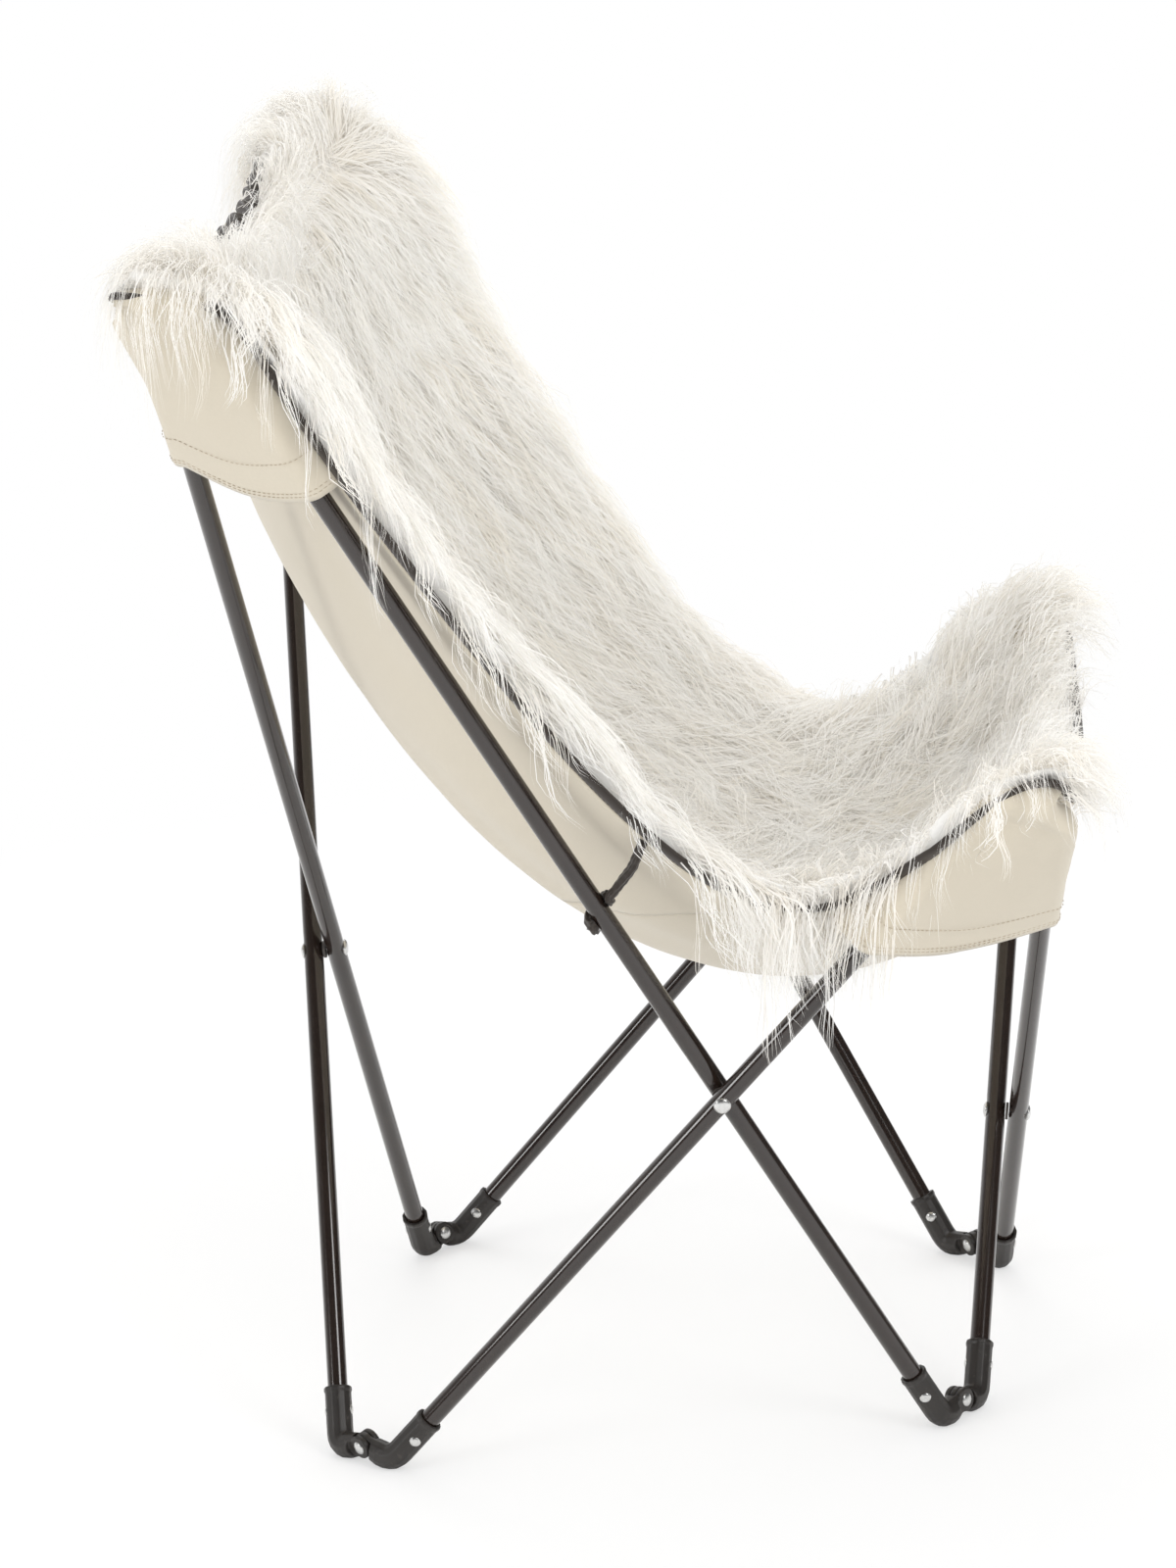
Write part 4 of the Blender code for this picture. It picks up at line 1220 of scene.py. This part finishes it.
def stitch_tree(name, material):
    """Thread stitches along the edges of a line mesh."""
    tree, start = geometry_tree(name, Pitch=0.0045, Length=0.0032, Thread=0.0007)
    line = add_node(tree, "GeometryNodeMeshToCurve", Mesh=start)
    even = add_node(tree, "GeometryNodeResampleCurve", {"mode": "LENGTH"}, Curve=line,
                    Length=start.output("Pitch"))
    points = add_node(tree, "GeometryNodeCurveToPoints", {"mode": "EVALUATED"}, "Points", Curve=even)
    ball = add_node(tree, "GeometryNodeMeshUVSphere", Segments=6, Rings=5, Radius=0.5)
    thread = start.output("Thread")
    shape = add_node(tree, "ShaderNodeCombineXYZ", X=thread, Y=thread, Z=start.output("Length"))
    placed = add_node(tree, "GeometryNodeInstanceOnPoints", Points=points, Instance=ball,
                      Rotation=turn_to(tree, "Z", points.output("Tangent")), Scale=shape)
    return close_tree(tree, add_node(tree, "GeometryNodeRealizeInstances", Geometry=placed), material)


def line_piece(name, lines, material):
    """A mesh of open polylines."""
    points, edges = [], []
    for line in lines:
        first = len(points)
        points += [tuple(p) for p in line]
        edges += [(first + i, first + i + 1) for i in range(len(line) - 1)]
    return piece(name, points, [], material, edges=edges)


def hem_row(rings, levels, level):
    """A closed line round a pocket at a level of its hem, just outside the cloth."""
    rising = slice(HEM_RINGS - 1, None, -1)
    row = np.array([np.interp(level, levels[rising], rings[rising, j, k])
                    for j in range(rings.shape[1]) for k in range(3)]).reshape(-1, 3)
    row = row + unit(row - row.mean(axis=0)) * HEM_STITCH_LIFT
    return np.concatenate([row, row[:1]])


class CHAIR_OT_stitches(bpy.types.Operator):
    """Double rows at the pocket hems, a seam row above them, and the rows along tape and crease"""

    bl_idname = "chair.stitches"
    bl_label = "Stitches"

    def execute(self, context):
        cream = finish_named(context, "cream_thread")
        dark = finish_named(context, "dark_thread")
        cream_tree = stitch_tree("cream_stitches", cream)
        dark_tree = stitch_tree("dark_stitches", dark)
        for corner, (body, _) in POCKET_TUBES.items():
            rings, levels, hem = pocket_rings(corner)
            seam_inset = SEAM_INSETS[corner.split("_")[1]]
            lines = [hem_row(rings, levels, hem - inset) for inset in (*HEM_INSETS, seam_inset)]
            seam = grow(line_piece(corner + "_hem_stitches", lines, cream), cream_tree)
            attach(seam, body)
        for panel in PANELS:
            v, points, out, normal = edge_walk(panel)
            wave = normal * ruffle(points, v)[:, None]
            row = points + wave + out * TAPE_STITCH_OUT - normal * TAPE_STITCH_SINK
            seam = grow(line_piece(panel + "_tape_stitches", [row], dark), dark_tree, thread=0.0005)
            drape(seam, panel)
        u = np.linspace(-0.97, 0.97, 240)
        for panel, shift in CREASE_STITCH_SHIFT.items():
            v = np.full(len(u), sizes().crease + shift)
            row = sling(u, v) + slopes(u, v)[2] * (canvas_relief(u, v)[:, None] - CREASE_STITCH_SINK)
            seam = grow(line_piece(panel + "_crease_stitches", [row], cream), cream_tree)
            drape(seam, panel)
        return {"FINISHED"}


# Strap and tab

STRAP_SIDES = 28
STRAP_RINGS = 90
STRAP_SEWN_BELOW = 0.0035           # sewn end under the sling's edge
STRAP_WIND_RADIUS = 0.0120          # middle of the strap round the tube
STRAP_KNOTS = 10
STRAP_FIRST_TURN, STRAP_TURN = -10, 26      # degrees
STRAP_PITCH = 0.0016                # way down the tube from knot to knot
STRAP_SAG = 0.004
STRAP_HALF_WIDTH, STRAP_HALF_DEPTH = 0.0058, 0.0036
STRAP_GIRTH = 0.03


def strap_path(low, up):
    """Middle line of the tie strap, from its sewn end to its turns round a tube that rises from low."""
    s = sizes()
    start = sling(-1.0, s.strap_at) - slopes(-1.0, s.strap_at)[2] * STRAP_SEWN_BELOW
    tie = low + up * ((start[2] - s.strap_drop - low[2]) / up[2])
    near = start - tie
    near = unit(near - up * (near @ up))
    side = np.cross(up, near)
    way = 1 if side[0] > 0 else -1
    first_touch = tie + near * STRAP_WIND_RADIUS * 1.1
    knots = [start, start + (first_touch - start) * 0.35 + np.array((0, 0, -STRAP_SAG))]
    for i in range(STRAP_KNOTS):
        t = math.radians(STRAP_FIRST_TURN + STRAP_TURN * i) * way
        round_tube = (near * math.cos(t) + side * math.sin(t)) * STRAP_WIND_RADIUS
        knots.append(tie + round_tube - up * STRAP_PITCH * (i - 2.5))
    knots = np.array(knots)
    run = run_along(knots)
    even = np.linspace(0, run[-1], STRAP_RINGS)
    path = points_at(even, run, knots)
    for _ in range(6):
        path[1:-1] = (path[:-2] + 2 * path[1:-1] + path[2:]) / 4
    return path, even


class CHAIR_OT_strap(bpy.types.Operator):
    """Satin tie strap, gathered where it is sewn on and wound round the long tube"""

    bl_idname = "chair.strap"
    bl_label = "Tie strap"

    def execute(self, context):
        low, high = long_axis(STRAP_BODY + "_tube")
        up = unit(high - low)
        path, even = strap_path(low, up)
        along = unit(np.gradient(path, axis=0))
        away = path - (low + np.outer((path - low) @ up, up))
        flat = unit(away - along * (away * along).sum(axis=1)[:, None])
        wide = np.cross(along, flat)
        turn = angles(STRAP_SIDES)
        rings = []
        for i, point in enumerate(path):
            pleat = 1 + 0.13 * np.cos(turn * 6 + i * 0.16) + 0.05 * math.sin(i * 1.1)
            ring = (np.cos(turn) * STRAP_HALF_WIDTH * pleat)[:, None] * wide[i]
            ring = ring + (np.sin(turn) * STRAP_HALF_DEPTH * pleat)[:, None] * flat[i]
            rings.append(point + ring)
        around = np.linspace(0, STRAP_GIRTH, STRAP_SIDES)
        uvs = np.stack(np.broadcast_arrays(even[:, None], around[None, :]), axis=-1)
        faces = pipe_faces(len(rings), STRAP_SIDES)
        material = finish_named(context, "satin")
        strap = outward(piece("satin_tie_strap", np.array(rings), faces, material, uvs=uvs))
        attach(strap, STRAP_BODY)
        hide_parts("right_tie_strap")
        return {"FINISHED"}


TAB_SIDES = 26
TAB_RINGS = 14
TAB_BOW = 0.0008                    # middle of the tab out of its plane
TAB_CURL = 0.0002


class CHAIR_OT_label(bpy.types.Operator):
    """Blank woven tab, folded once, that hangs under the seat panel"""

    bl_idname = "chair.label"
    bl_label = "Blank tab"

    def execute(self, context):
        points = node_points("sewn_label")
        middle = points.mean(axis=0)
        frame = np.linalg.svd(points - middle, full_matrices=False)[2]
        wide, tall, thin = frame
        reach = np.abs((points - middle) @ frame.T).max(axis=0)
        profile = oval(reach[1] * 2, reach[2] * 2.4, TAB_SIDES, 4.0)
        curl = np.sin(angles(TAB_SIDES) * 2)[:, None] * thin * TAB_CURL
        rings = []
        for t in np.linspace(-1, 1, TAB_RINGS):
            bow = TAB_BOW * math.cos(t * 2.2)
            ring = middle + wide * reach[0] * t + profile[:, :1] * tall + (profile[:, 1:] + bow) * thin
            rings.append(ring + curl)
        faces = pipe_faces(TAB_RINGS, TAB_SIDES)
        tab = outward(piece("woven_tab", np.array(rings), faces, finish_named(context, "label")))
        drape(tab, "seat")
        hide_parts("sewn_label")
        return {"FINISHED"}


# Hair

LOCK_KINDS = 6
LOCK_SEED = 100
LOCK_STOPS = 8                      # points along a strand
ROOT_SCATTER, TIP_SCATTER = 0.0065, 0.0022
ROOT_DEPTH = 0.004                  # roots start this far under the surface
LOCK_SIZES = (0.72, 1.2)            # least and most size of a lock


def lock_mesh(index, fur, material):
    """One lock: thin ribbons that start apart, wave together and close to a point."""
    rng = np.random.default_rng(LOCK_SEED + index)
    stops = np.linspace(0, 1, LOCK_STOPS)
    points, faces, alongs = [], [], []
    phase, wave = rng.uniform(0, 6.3), rng.uniform(0.9, 1.5)
    swing = rng.uniform(0.005, 0.0125)
    for _ in range(fur.strands):
        length = fur.lock_length * rng.uniform(0.70, 1.12)
        root = rng.normal(0, ROOT_SCATTER, 2)
        stray = rng.normal(0, TIP_SCATTER, 2)
        lift = fur.lock_lift * rng.uniform(0.7, 1.25)
        twist = rng.normal(0, 0.5)
        bend = 2 * math.pi * wave * stops + phase + rng.normal(0, 0.25)
        x = length * (stops - 0.10 * stops ** 2) + root[0] * (1 - stops)
        y = swing * np.sin(bend) * stops ** 0.8 + root[1] * (1 - 0.8 * stops) + stray[0] * stops ** 2
        arch = lift * np.sin(math.pi * 0.66 * stops) - ROOT_DEPTH
        z = arch + swing * 0.5 * np.sin(bend + 1.2) * stops + stray[1] * stops
        width = fur.strand_width * rng.uniform(0.7, 1.2) * (1 - stops ** 2.5 * 0.92) / 2
        first = len(points)
        for i, t in enumerate(stops):
            angle = twist + 0.8 * t
            side = np.array((0, math.cos(angle), math.sin(angle))) * width[i]
            centre = np.array((x[i], y[i], z[i]))
            points += [centre - side, centre + side]
            alongs += [t, t]
        for a in range(first, first + 2 * (LOCK_STOPS - 1), 2):
            faces.append((a, a + 1, a + 3, a + 2))
    lock = piece("hair_lock_%d" % index, points, faces, material)
    store(lock, "along", "FLOAT", alongs)
    return lock


def fur_tree(locks, material):
    """Locks of hair scattered on a surface, lying along its flow and hanging past its edges."""
    tree, start = geometry_tree("pile", Density=1000.0, Seed=0)
    scatter = add_node(tree, "GeometryNodeDistributePointsOnFaces", {"distribute_method": "RANDOM"}, "Points",
                       Mesh=start, Density=named(tree, "thick") * start.output("Density"),
                       Seed=start.output("Seed"))
    lying = turn_to(tree, "X", named(tree, "flow", "FLOAT_VECTOR"))
    laid = turn_to(tree, "Z", scatter.output("Normal"), pivot="X", Rotation=lying)
    yaw = chance(tree, -1.0, 1.0, seed=3) * named(tree, "spread")
    spin = add_node(tree, "FunctionNodeEulerToRotation", Euler=add_node(tree, "ShaderNodeCombineXYZ", Z=yaw))
    spun = add_node(tree, "FunctionNodeRotateRotation", {"rotation_space": "LOCAL"}, _0=laid, _1=spin)
    kinds = add_node(tree, "GeometryNodeCollectionInfo", {"transform_space": "ORIGINAL"}, Collection=locks,
                     Separate_Children=True, Reset_Children=True)
    size = chance(tree, *LOCK_SIZES, seed=5) * named(tree, "growth")
    placed = add_node(tree, "GeometryNodeInstanceOnPoints", Points=scatter, Instance=kinds, Rotation=spun,
                      Scale=size, Pick_Instance=True)
    toned = add_node(tree, "GeometryNodeStoreNamedAttribute", {"data_type": "FLOAT", "domain": "INSTANCE"},
                     Geometry=placed, Name="tone", Value=chance(tree, 0.0, 1.0, seed=9))
    real = add_node(tree, "GeometryNodeRealizeInstances", Geometry=toned)
    past_edge = (named(tree, "along") - named(tree, "reach")).at_least(0.0) ** 1.3
    droop = add_node(tree, "ShaderNodeVectorMath", {"operation": "SCALE"},
                     _0=named(tree, "hang", "FLOAT_VECTOR"), Scale=past_edge)
    hung = add_node(tree, "GeometryNodeSetPosition", Geometry=real, Offset=droop)
    return close_tree(tree, hung, material)


# Hair along the side edges by its place v: over the rear pocket, beside the back, at the seat,
# over the front pocket
EDGE_PLACES = (0.0, 0.15, 0.22, 0.40, 0.50, 0.76, 0.84, 1.0)
EDGE_ALONG = (0.60, 0.60, 1.00, 1.00, 0.30, 0.20, 0.15, 0.20)
EDGE_OUTWARD = (0.70, 0.55, 0.35, 0.40, 0.60, 0.60, 0.60, 0.70)
EDGE_LEVEL = (0.40, 0.50, 0.15, 0.25, 1.00, 1.00, 1.00, 0.80)
EDGE_LENGTH = (0.80, 0.70, 0.75, 0.85, 1.00, 1.00, 0.75, 0.80)
EDGE_THICK = (0.60, 0.15, 2.20, 2.40, 6.00, 6.00, 4.00, 3.00)
EDGE_SINK = (0.70, 0.70, 0.40, 0.55, 1.25, 1.25, 0.85, 0.70)
EDGE_PULL = (0.40, 0.50, 0.40, 0.40, 0.65, 0.65, 0.65, 0.50)
REAR_SINK, FRONT_SINK = 1.25, 0.60          # droop at the rear and front edges
REAR_FRINGE, FRONT_FRINGE = 4.5, 5.0        # added density there
FRINGE_WIDTH = 0.022
SLING_WAY = 1.15                    # metres over the sling from rear to front, and its width over its span
# The parting behind the rear edge, where the hair turns from forward to rearward
PARTING_AT, PARTING_WIDTH, PARTING_THICK = 0.045, 0.025, 2.2
SIDE_ROLL, END_ROLL = 0.05, 0.018   # shares of the sling over which the pile rounds off
ROLL_OUT = 0.016
# Roots keep off the outermost part of that roll
SIDE_BARE, SIDE_RISE = 0.046, 0.061
END_BARE, END_RISE = 0.005, 0.02
ROWS_PER_SLING, COLUMNS_PER_HALF = 120, 80
HAIR_BANDS = 4
HAIR_SEED = 11
COAT_ROWS, COAT_COLUMNS = 90, 130
COAT_BOTTOM, COAT_LIFT = 0.0042, 0.0054
COAT_SINK, COAT_SINK_LIFT = 0.55, 0.0036    # the undercoat is lower at the parting and the front edge


def toward_edge(even):
    """Even places from -1 to 1 drawn closer together toward both ends."""
    return np.sin(even * math.pi / 2) * 0.8 + even * 0.2


def pile_share(u, v):
    """Share of the pile's full depth, and how near the side and end edges are."""
    to_side = ramp(1 - np.abs(u), 0, SIDE_ROLL)
    to_end = ramp(np.minimum(v, 1 - v), 0, END_ROLL)
    return np.sqrt(1 - (1 - np.minimum(to_side, to_end)) ** 2), to_side, to_end


def pile_surface(u, v, depth):
    """Points at a depth of the pile over the sling, with a round roll that overhangs the free edges."""
    along_u, along_v, normal = slopes(u, v)
    share, to_side, to_end = pile_share(u, v)
    out = along_u * np.sign(u)[..., None] * (1 - to_side)[..., None]
    out = unit(out + along_v * (np.sign(v - 0.5) * (1 - to_end))[..., None])
    roll = ROLL_OUT * np.sin(math.pi * share ** 1.3)
    return sling(u, v) + normal * (depth * share)[..., None] + out * roll[..., None]


def pile_base(name, low, high, left, right, material):
    """A patch of the sling that hair grows on, with its lie, its growth and its hang past an edge."""
    fur = bpy.context.scene.chair_fur
    rows = max(int((high - low) * ROWS_PER_SLING), 6)
    cols = max(int((right - left) * COLUMNS_PER_HALF), 6)
    u, v = patch(low, high, rows, toward_edge(np.linspace(left, right, cols)))
    along_u, along_v, normal = slopes(u, v)
    points = pile_surface(u, v, fur.undercoat * 0.85) + normal * 0.003
    to_side = (1 - np.abs(u)) * np.abs(sling(np.ones_like(v), v)[..., 0]) * SLING_WAY
    to_rear, to_front = v * SLING_WAY, (1 - v) * SLING_WAY
    side = ramp(np.abs(u), 0.80, 0.18)
    rim = 1 - ramp(to_side, 0, FRINGE_WIDTH)
    rear = ramp(0.055 - v, 0, 0.045)
    front = ramp(v, 0.88, 0.10)
    seat = ramp(v, 0.42, 0.2)
    edge_rows = (EDGE_ALONG, EDGE_OUTWARD, EDGE_LEVEL, EDGE_LENGTH, EDGE_THICK, EDGE_SINK, EDGE_PULL)
    edge_along, edge_out, level, length_share, thickness, sink, pull = (
        np.interp(v, EDGE_PLACES, row) for row in edge_rows)
    out = along_u * np.sign(u)[..., None]
    down = np.array((0.0, 0.0, -1.0))
    wander = wobble(points, scale=7.0, seed=6)
    tuft = wobble(points, scale=26.0, seed=7)
    forward = (1 - rear * 2.2) * (1 - rim * (1 - edge_along))
    sideways = wander * (0.35 + seat * 1.7) * (1 - side)
    flow = along_v * forward[..., None] + out * (side * edge_out)[..., None]
    flow = flow + along_u * sideways[..., None] + along_v * front[..., None]
    flow[..., 0] += np.sign(u) * rim * level
    flow[..., 1] += rear * np.clip(1 - v / 0.03, 0, 1) * 0.7
    flow = unit(flow)
    reach = np.ones(u.shape)
    for distance, way in ((to_side, out), (to_rear, -along_v), (to_front, along_v)):
        speed = np.maximum((flow * way).sum(axis=-1), 0.02)
        reach = np.minimum(reach, distance / (speed * fur.lock_length))
    ends = np.maximum(rear, front)
    sink = fur.edge_droop * (sink * (1 - ends) + (REAR_SINK * rear + FRONT_SINK * front) * ends)
    hang = (down - flow * pull[..., None]) * sink[..., None]
    spread = 0.24 + 0.85 * seat * (1 - side) * (1 - front)
    growth = 1.0 + 0.15 * wander + rim * (length_share - 1 + 0.30 * tuft)
    fringe = np.clip(np.exp(-to_side / FRINGE_WIDTH), 0, 1) * thickness
    fringe = fringe + REAR_FRINGE * np.exp(-v / 0.02) + FRONT_FRINGE * np.exp(-(1 - v) / 0.02)
    parting = PARTING_THICK * bell(v, PARTING_AT, PARTING_WIDTH)
    thick = 1 + fringe * np.clip(0.55 + 1.1 * tuft, 0.1, 1.4) + parting
    _, side_room, end_room = pile_share(u, v)
    thick = thick * ramp(side_room, SIDE_BARE, SIDE_RISE) * ramp(end_room, END_BARE, END_RISE)
    base = piece(name, points, turned_over(grid_faces(rows, cols)), material)
    for label, values in (("flow", flow), ("hang", hang)):
        store(base, label, "FLOAT_VECTOR", values)
    for label, values in (("spread", spread), ("growth", growth), ("reach", reach), ("thick", thick)):
        store(base, label, "FLOAT", values)
    return base


def keep_in_reach(hair):
    """Draw in the tips that stand far outside the chair's box, more gently the nearer they are."""
    free, most = 0.008, 0.028
    points = np.empty(len(hair.data.vertices) * 3, dtype=np.float32)
    hair.data.vertices.foreach_get("co", points)
    points = points.reshape(-1, 3)
    for axis in range(3):
        for side, corner in zip((-1, 1), CAD_BOX):
            over = np.maximum(side * (points[:, axis] - corner[axis]) - free, 0)
            drawn = (most - free) * np.tanh(over / (most - free))
            points[:, axis] -= side * (over - drawn)
    hair.data.vertices.foreach_set("co", points.ravel())
    hair.data.update()


def undercoat(panel, depth, material):
    """Closed pad of dense pile over a panel, with tufts on its top."""
    low, high = panel_range(panel)
    u, v = patch(low, high, COAT_ROWS, toward_edge(np.linspace(-1, 1, COAT_COLUMNS)))
    normal = slopes(u, v)[2]
    under = sling(u, v) + normal * COAT_BOTTOM
    tufts = 0.7 * wobble(under, scale=24.0, seed=8) + 0.4 * wobble(under, scale=60.0, seed=9)
    sunk = COAT_SINK * (bell(v, PARTING_AT, 0.035) + bell(v, 0.97, 0.03))
    top = pile_surface(u, v, depth * (0.80 + 0.30 * tufts) * (1 - sunk))
    top = top + normal * (COAT_LIFT - COAT_SINK_LIFT * sunk)[..., None]
    places = np.arange(u.size).reshape(u.shape)
    rim = np.concatenate([places[0], places[1:, -1], places[-1, -2::-1], places[-2:0:-1, 0]]).tolist()
    quads = grid_faces(COAT_ROWS, COAT_COLUMNS)
    faces = turned_over(quads) + [tuple(i + u.size for i in quad) for quad in quads]
    for a, b in zip(rim, rim[1:] + rim[:1]):
        faces.append((a, b, b + u.size, a + u.size))
    points = np.concatenate([under.reshape(-1, 3), top.reshape(-1, 3)])
    return outward(piece(panel + "_undercoat", points, faces, material))


class CHAIR_OT_fur(bpy.types.Operator):
    """Dense undercoat and long wavy locks over the back and the seat"""

    bl_idname = "chair.fur"
    bl_label = "Fur"

    def execute(self, context):
        fur = context.scene.chair_fur
        material = finish_named(context, "fur")
        coat = finish_named(context, "undercoat")
        locks = bpy.data.collections.new("hair_locks")
        for i in range(LOCK_KINDS):
            lock = lock_mesh(i, fur, material)
            context.scene.collection.objects.unlink(lock)
            locks.objects.link(lock)
        tree = fur_tree(locks, material)
        for panel in PANELS:
            pile = undercoat(panel, fur.undercoat, coat)
            drape(pile, panel)
            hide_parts(panel + "_fur")
            cuts = np.linspace(*panel_range(panel), HAIR_BANDS + 1)
            for i in range(HAIR_BANDS):
                for j, (left, right) in enumerate(((-1, 0), (0, 1))):
                    number = 2 * i + j
                    name = "%s_hair_%d" % (panel, number + 1)
                    hair = pile_base(name, cuts[i], cuts[i + 1], left, right, material)
                    grow(hair, tree, density=fur.locks_per_square_metre, seed=HAIR_SEED + number)
                    keep_in_reach(hair)
                    drape(hair, panel)
        for lock in list(locks.objects):
            bpy.data.objects.remove(lock)
        bpy.data.collections.remove(locks)
        return {"FINISHED"}


# Stage

# Each lamp's place, size and power
LAMPS = {
    "key": ((-2.6, -2.6, 2.6), 1.6, 42),
    "fill": ((-2.2, 3.0, 1.4), 1.2, 26),
    "back": ((2.6, 0.6, 2.8), 2.0, 24),
}
LAMP_AIM = Vector((0, 0, 0.45))
WHITE = (1.0, 1.0, 1.0, 1.0)
FLOOR_GREY = (0.9, 0.9, 0.9, 1.0)
FLOOR_FADE = 0.55                   # share of plain white under the chair, and its growth for each metre
BRIGHT_SIDE = (0.72, 0.68, 0.10)    # where the reflections are brightest
MIRROR_DIMMING, MIRROR_GLOW = 0.93, 1.2


class CHAIR_OT_stage(bpy.types.Operator):
    """Pale floor, soft studio light and the camera of the main view"""

    bl_idname = "chair.stage"
    bl_label = "Stage"

    def execute(self, context):
        scene = context.scene
        scene.view_settings.view_transform = "Standard"
        self.floor(context)
        self.world(scene)
        for name, (place, size, power) in LAMPS.items():
            self.lamp(scene, name, place, size, power)
        self.camera(scene, scene.chair_view)
        return {"FINISHED"}

    def camera(self, scene, view):
        camera = bpy.data.objects.new("main_camera", bpy.data.cameras.new("main_camera"))
        scene.collection.objects.link(camera)
        right, up = Vector(view.right).normalized(), Vector(view.up).normalized()
        back = right.cross(up).normalized()
        turn = Matrix((right, back.cross(right), back)).transposed()
        camera.matrix_world = Matrix.Translation(view.place) @ turn.to_4x4()
        camera.data.sensor_fit = "HORIZONTAL"
        camera.data.sensor_width = 36.0
        camera.data.lens = view.lens
        camera.data.clip_end = 100.0
        scene.camera = camera

    def lamp(self, scene, name, place, size, power):
        data = bpy.data.lights.new(name, "AREA")
        data.shape = "DISK"
        data.size = size
        data.energy = power
        lamp = bpy.data.objects.new(name, data)
        turn = (LAMP_AIM - Vector(place)).to_track_quat("-Z", "Y")
        lamp.matrix_world = Matrix.Translation(place) @ turn.to_matrix().to_4x4()
        scene.collection.objects.link(lamp)

    def world(self, scene):
        """Even light on the chair, dimmer in its reflections, and plain white behind it."""
        scene.world = bpy.data.worlds.new("studio")
        scene.world.use_nodes = True
        tree = scene.world.node_tree
        tree.nodes.clear()
        seen = add_node(tree, "ShaderNodeLightPath", output="Is Camera Ray")
        where = add_node(tree, "ShaderNodeTexCoord", output="Object")
        facing = add_node(tree, "ShaderNodeVectorMath", {"operation": "DOT_PRODUCT"}, "Value",
                          _0=where, _1=BRIGHT_SIDE)
        glow = facing.at_least(0.0) ** 3 * MIRROR_GLOW
        strength = 1.0 - seen.output("Is Glossy Ray") * (MIRROR_DIMMING - glow)
        light = add_node(tree, "ShaderNodeBackground", Color=WHITE, Strength=strength)
        white = add_node(tree, "ShaderNodeBackground", Color=WHITE)
        mixed = add_node(tree, "ShaderNodeMixShader", _0=seen, _1=light, _2=white)
        add_node(tree, "ShaderNodeOutputWorld", Surface=mixed)

    def floor(self, context):
        """White sheet that keeps a soft shadow near the chair and fades to plain white."""
        bpy.ops.mesh.primitive_plane_add(size=30.0, location=(0, 0, -0.0004))
        floor = context.object
        floor.name = "studio_floor"
        finish = Finish("studio_white", base_color=FLOOR_GREY, roughness=0.9)
        seen = finish.node("ShaderNodeLightPath", output="Is Camera Ray")
        away = finish.node("ShaderNodeVectorMath", {"operation": "LENGTH"}, "Value", _0=finish.place())
        plain = (away * FLOOR_FADE).at_least(FLOOR_FADE).at_most(1.0)
        floor.data.materials.append(finish.blend(seen * plain, finish.node("ShaderNodeEmission")))


OPERATORS = (
    CHAIR_OT_stage, CHAIR_OT_tubes, CHAIR_OT_feet, CHAIR_OT_rivets, CHAIR_OT_fittings, CHAIR_OT_canvas,
    CHAIR_OT_binding, CHAIR_OT_pockets, CHAIR_OT_stitches, CHAIR_OT_strap, CHAIR_OT_label, CHAIR_OT_fur,
)
GROUPS = (SlingSizes, FurSizes, ChairColours, ViewSizes)


class CHAIR_PT_panel(bpy.types.Panel):
    """Lists the steps that dress the chair"""

    bl_idname = "CHAIR_PT_panel"
    bl_label = "Butterfly chair"
    bl_space_type = "VIEW_3D"
    bl_region_type = "UI"
    bl_category = "Chair"

    def draw(self, context):
        for operator in OPERATORS:
            self.layout.operator(operator.bl_idname)


def register():
    for cls in GROUPS + OPERATORS + (CHAIR_PT_panel,):
        bpy.utils.register_class(cls)
    bpy.types.Scene.chair_sling = bpy.props.PointerProperty(type=SlingSizes)
    bpy.types.Scene.chair_fur = bpy.props.PointerProperty(type=FurSizes)
    bpy.types.Scene.chair_colours = bpy.props.PointerProperty(type=ChairColours)
    bpy.types.Scene.chair_view = bpy.props.PointerProperty(type=ViewSizes)


def unregister():
    del bpy.types.Scene.chair_view
    del bpy.types.Scene.chair_colours
    del bpy.types.Scene.chair_fur
    del bpy.types.Scene.chair_sling
    for cls in reversed(GROUPS + OPERATORS + (CHAIR_PT_panel,)):
        bpy.utils.unregister_class(cls)


def main():
    register()
    for operator in OPERATORS:
        group, name = operator.bl_idname.split(".")
        getattr(getattr(bpy.ops, group), name)()


if __name__ == "__main__":
    main()
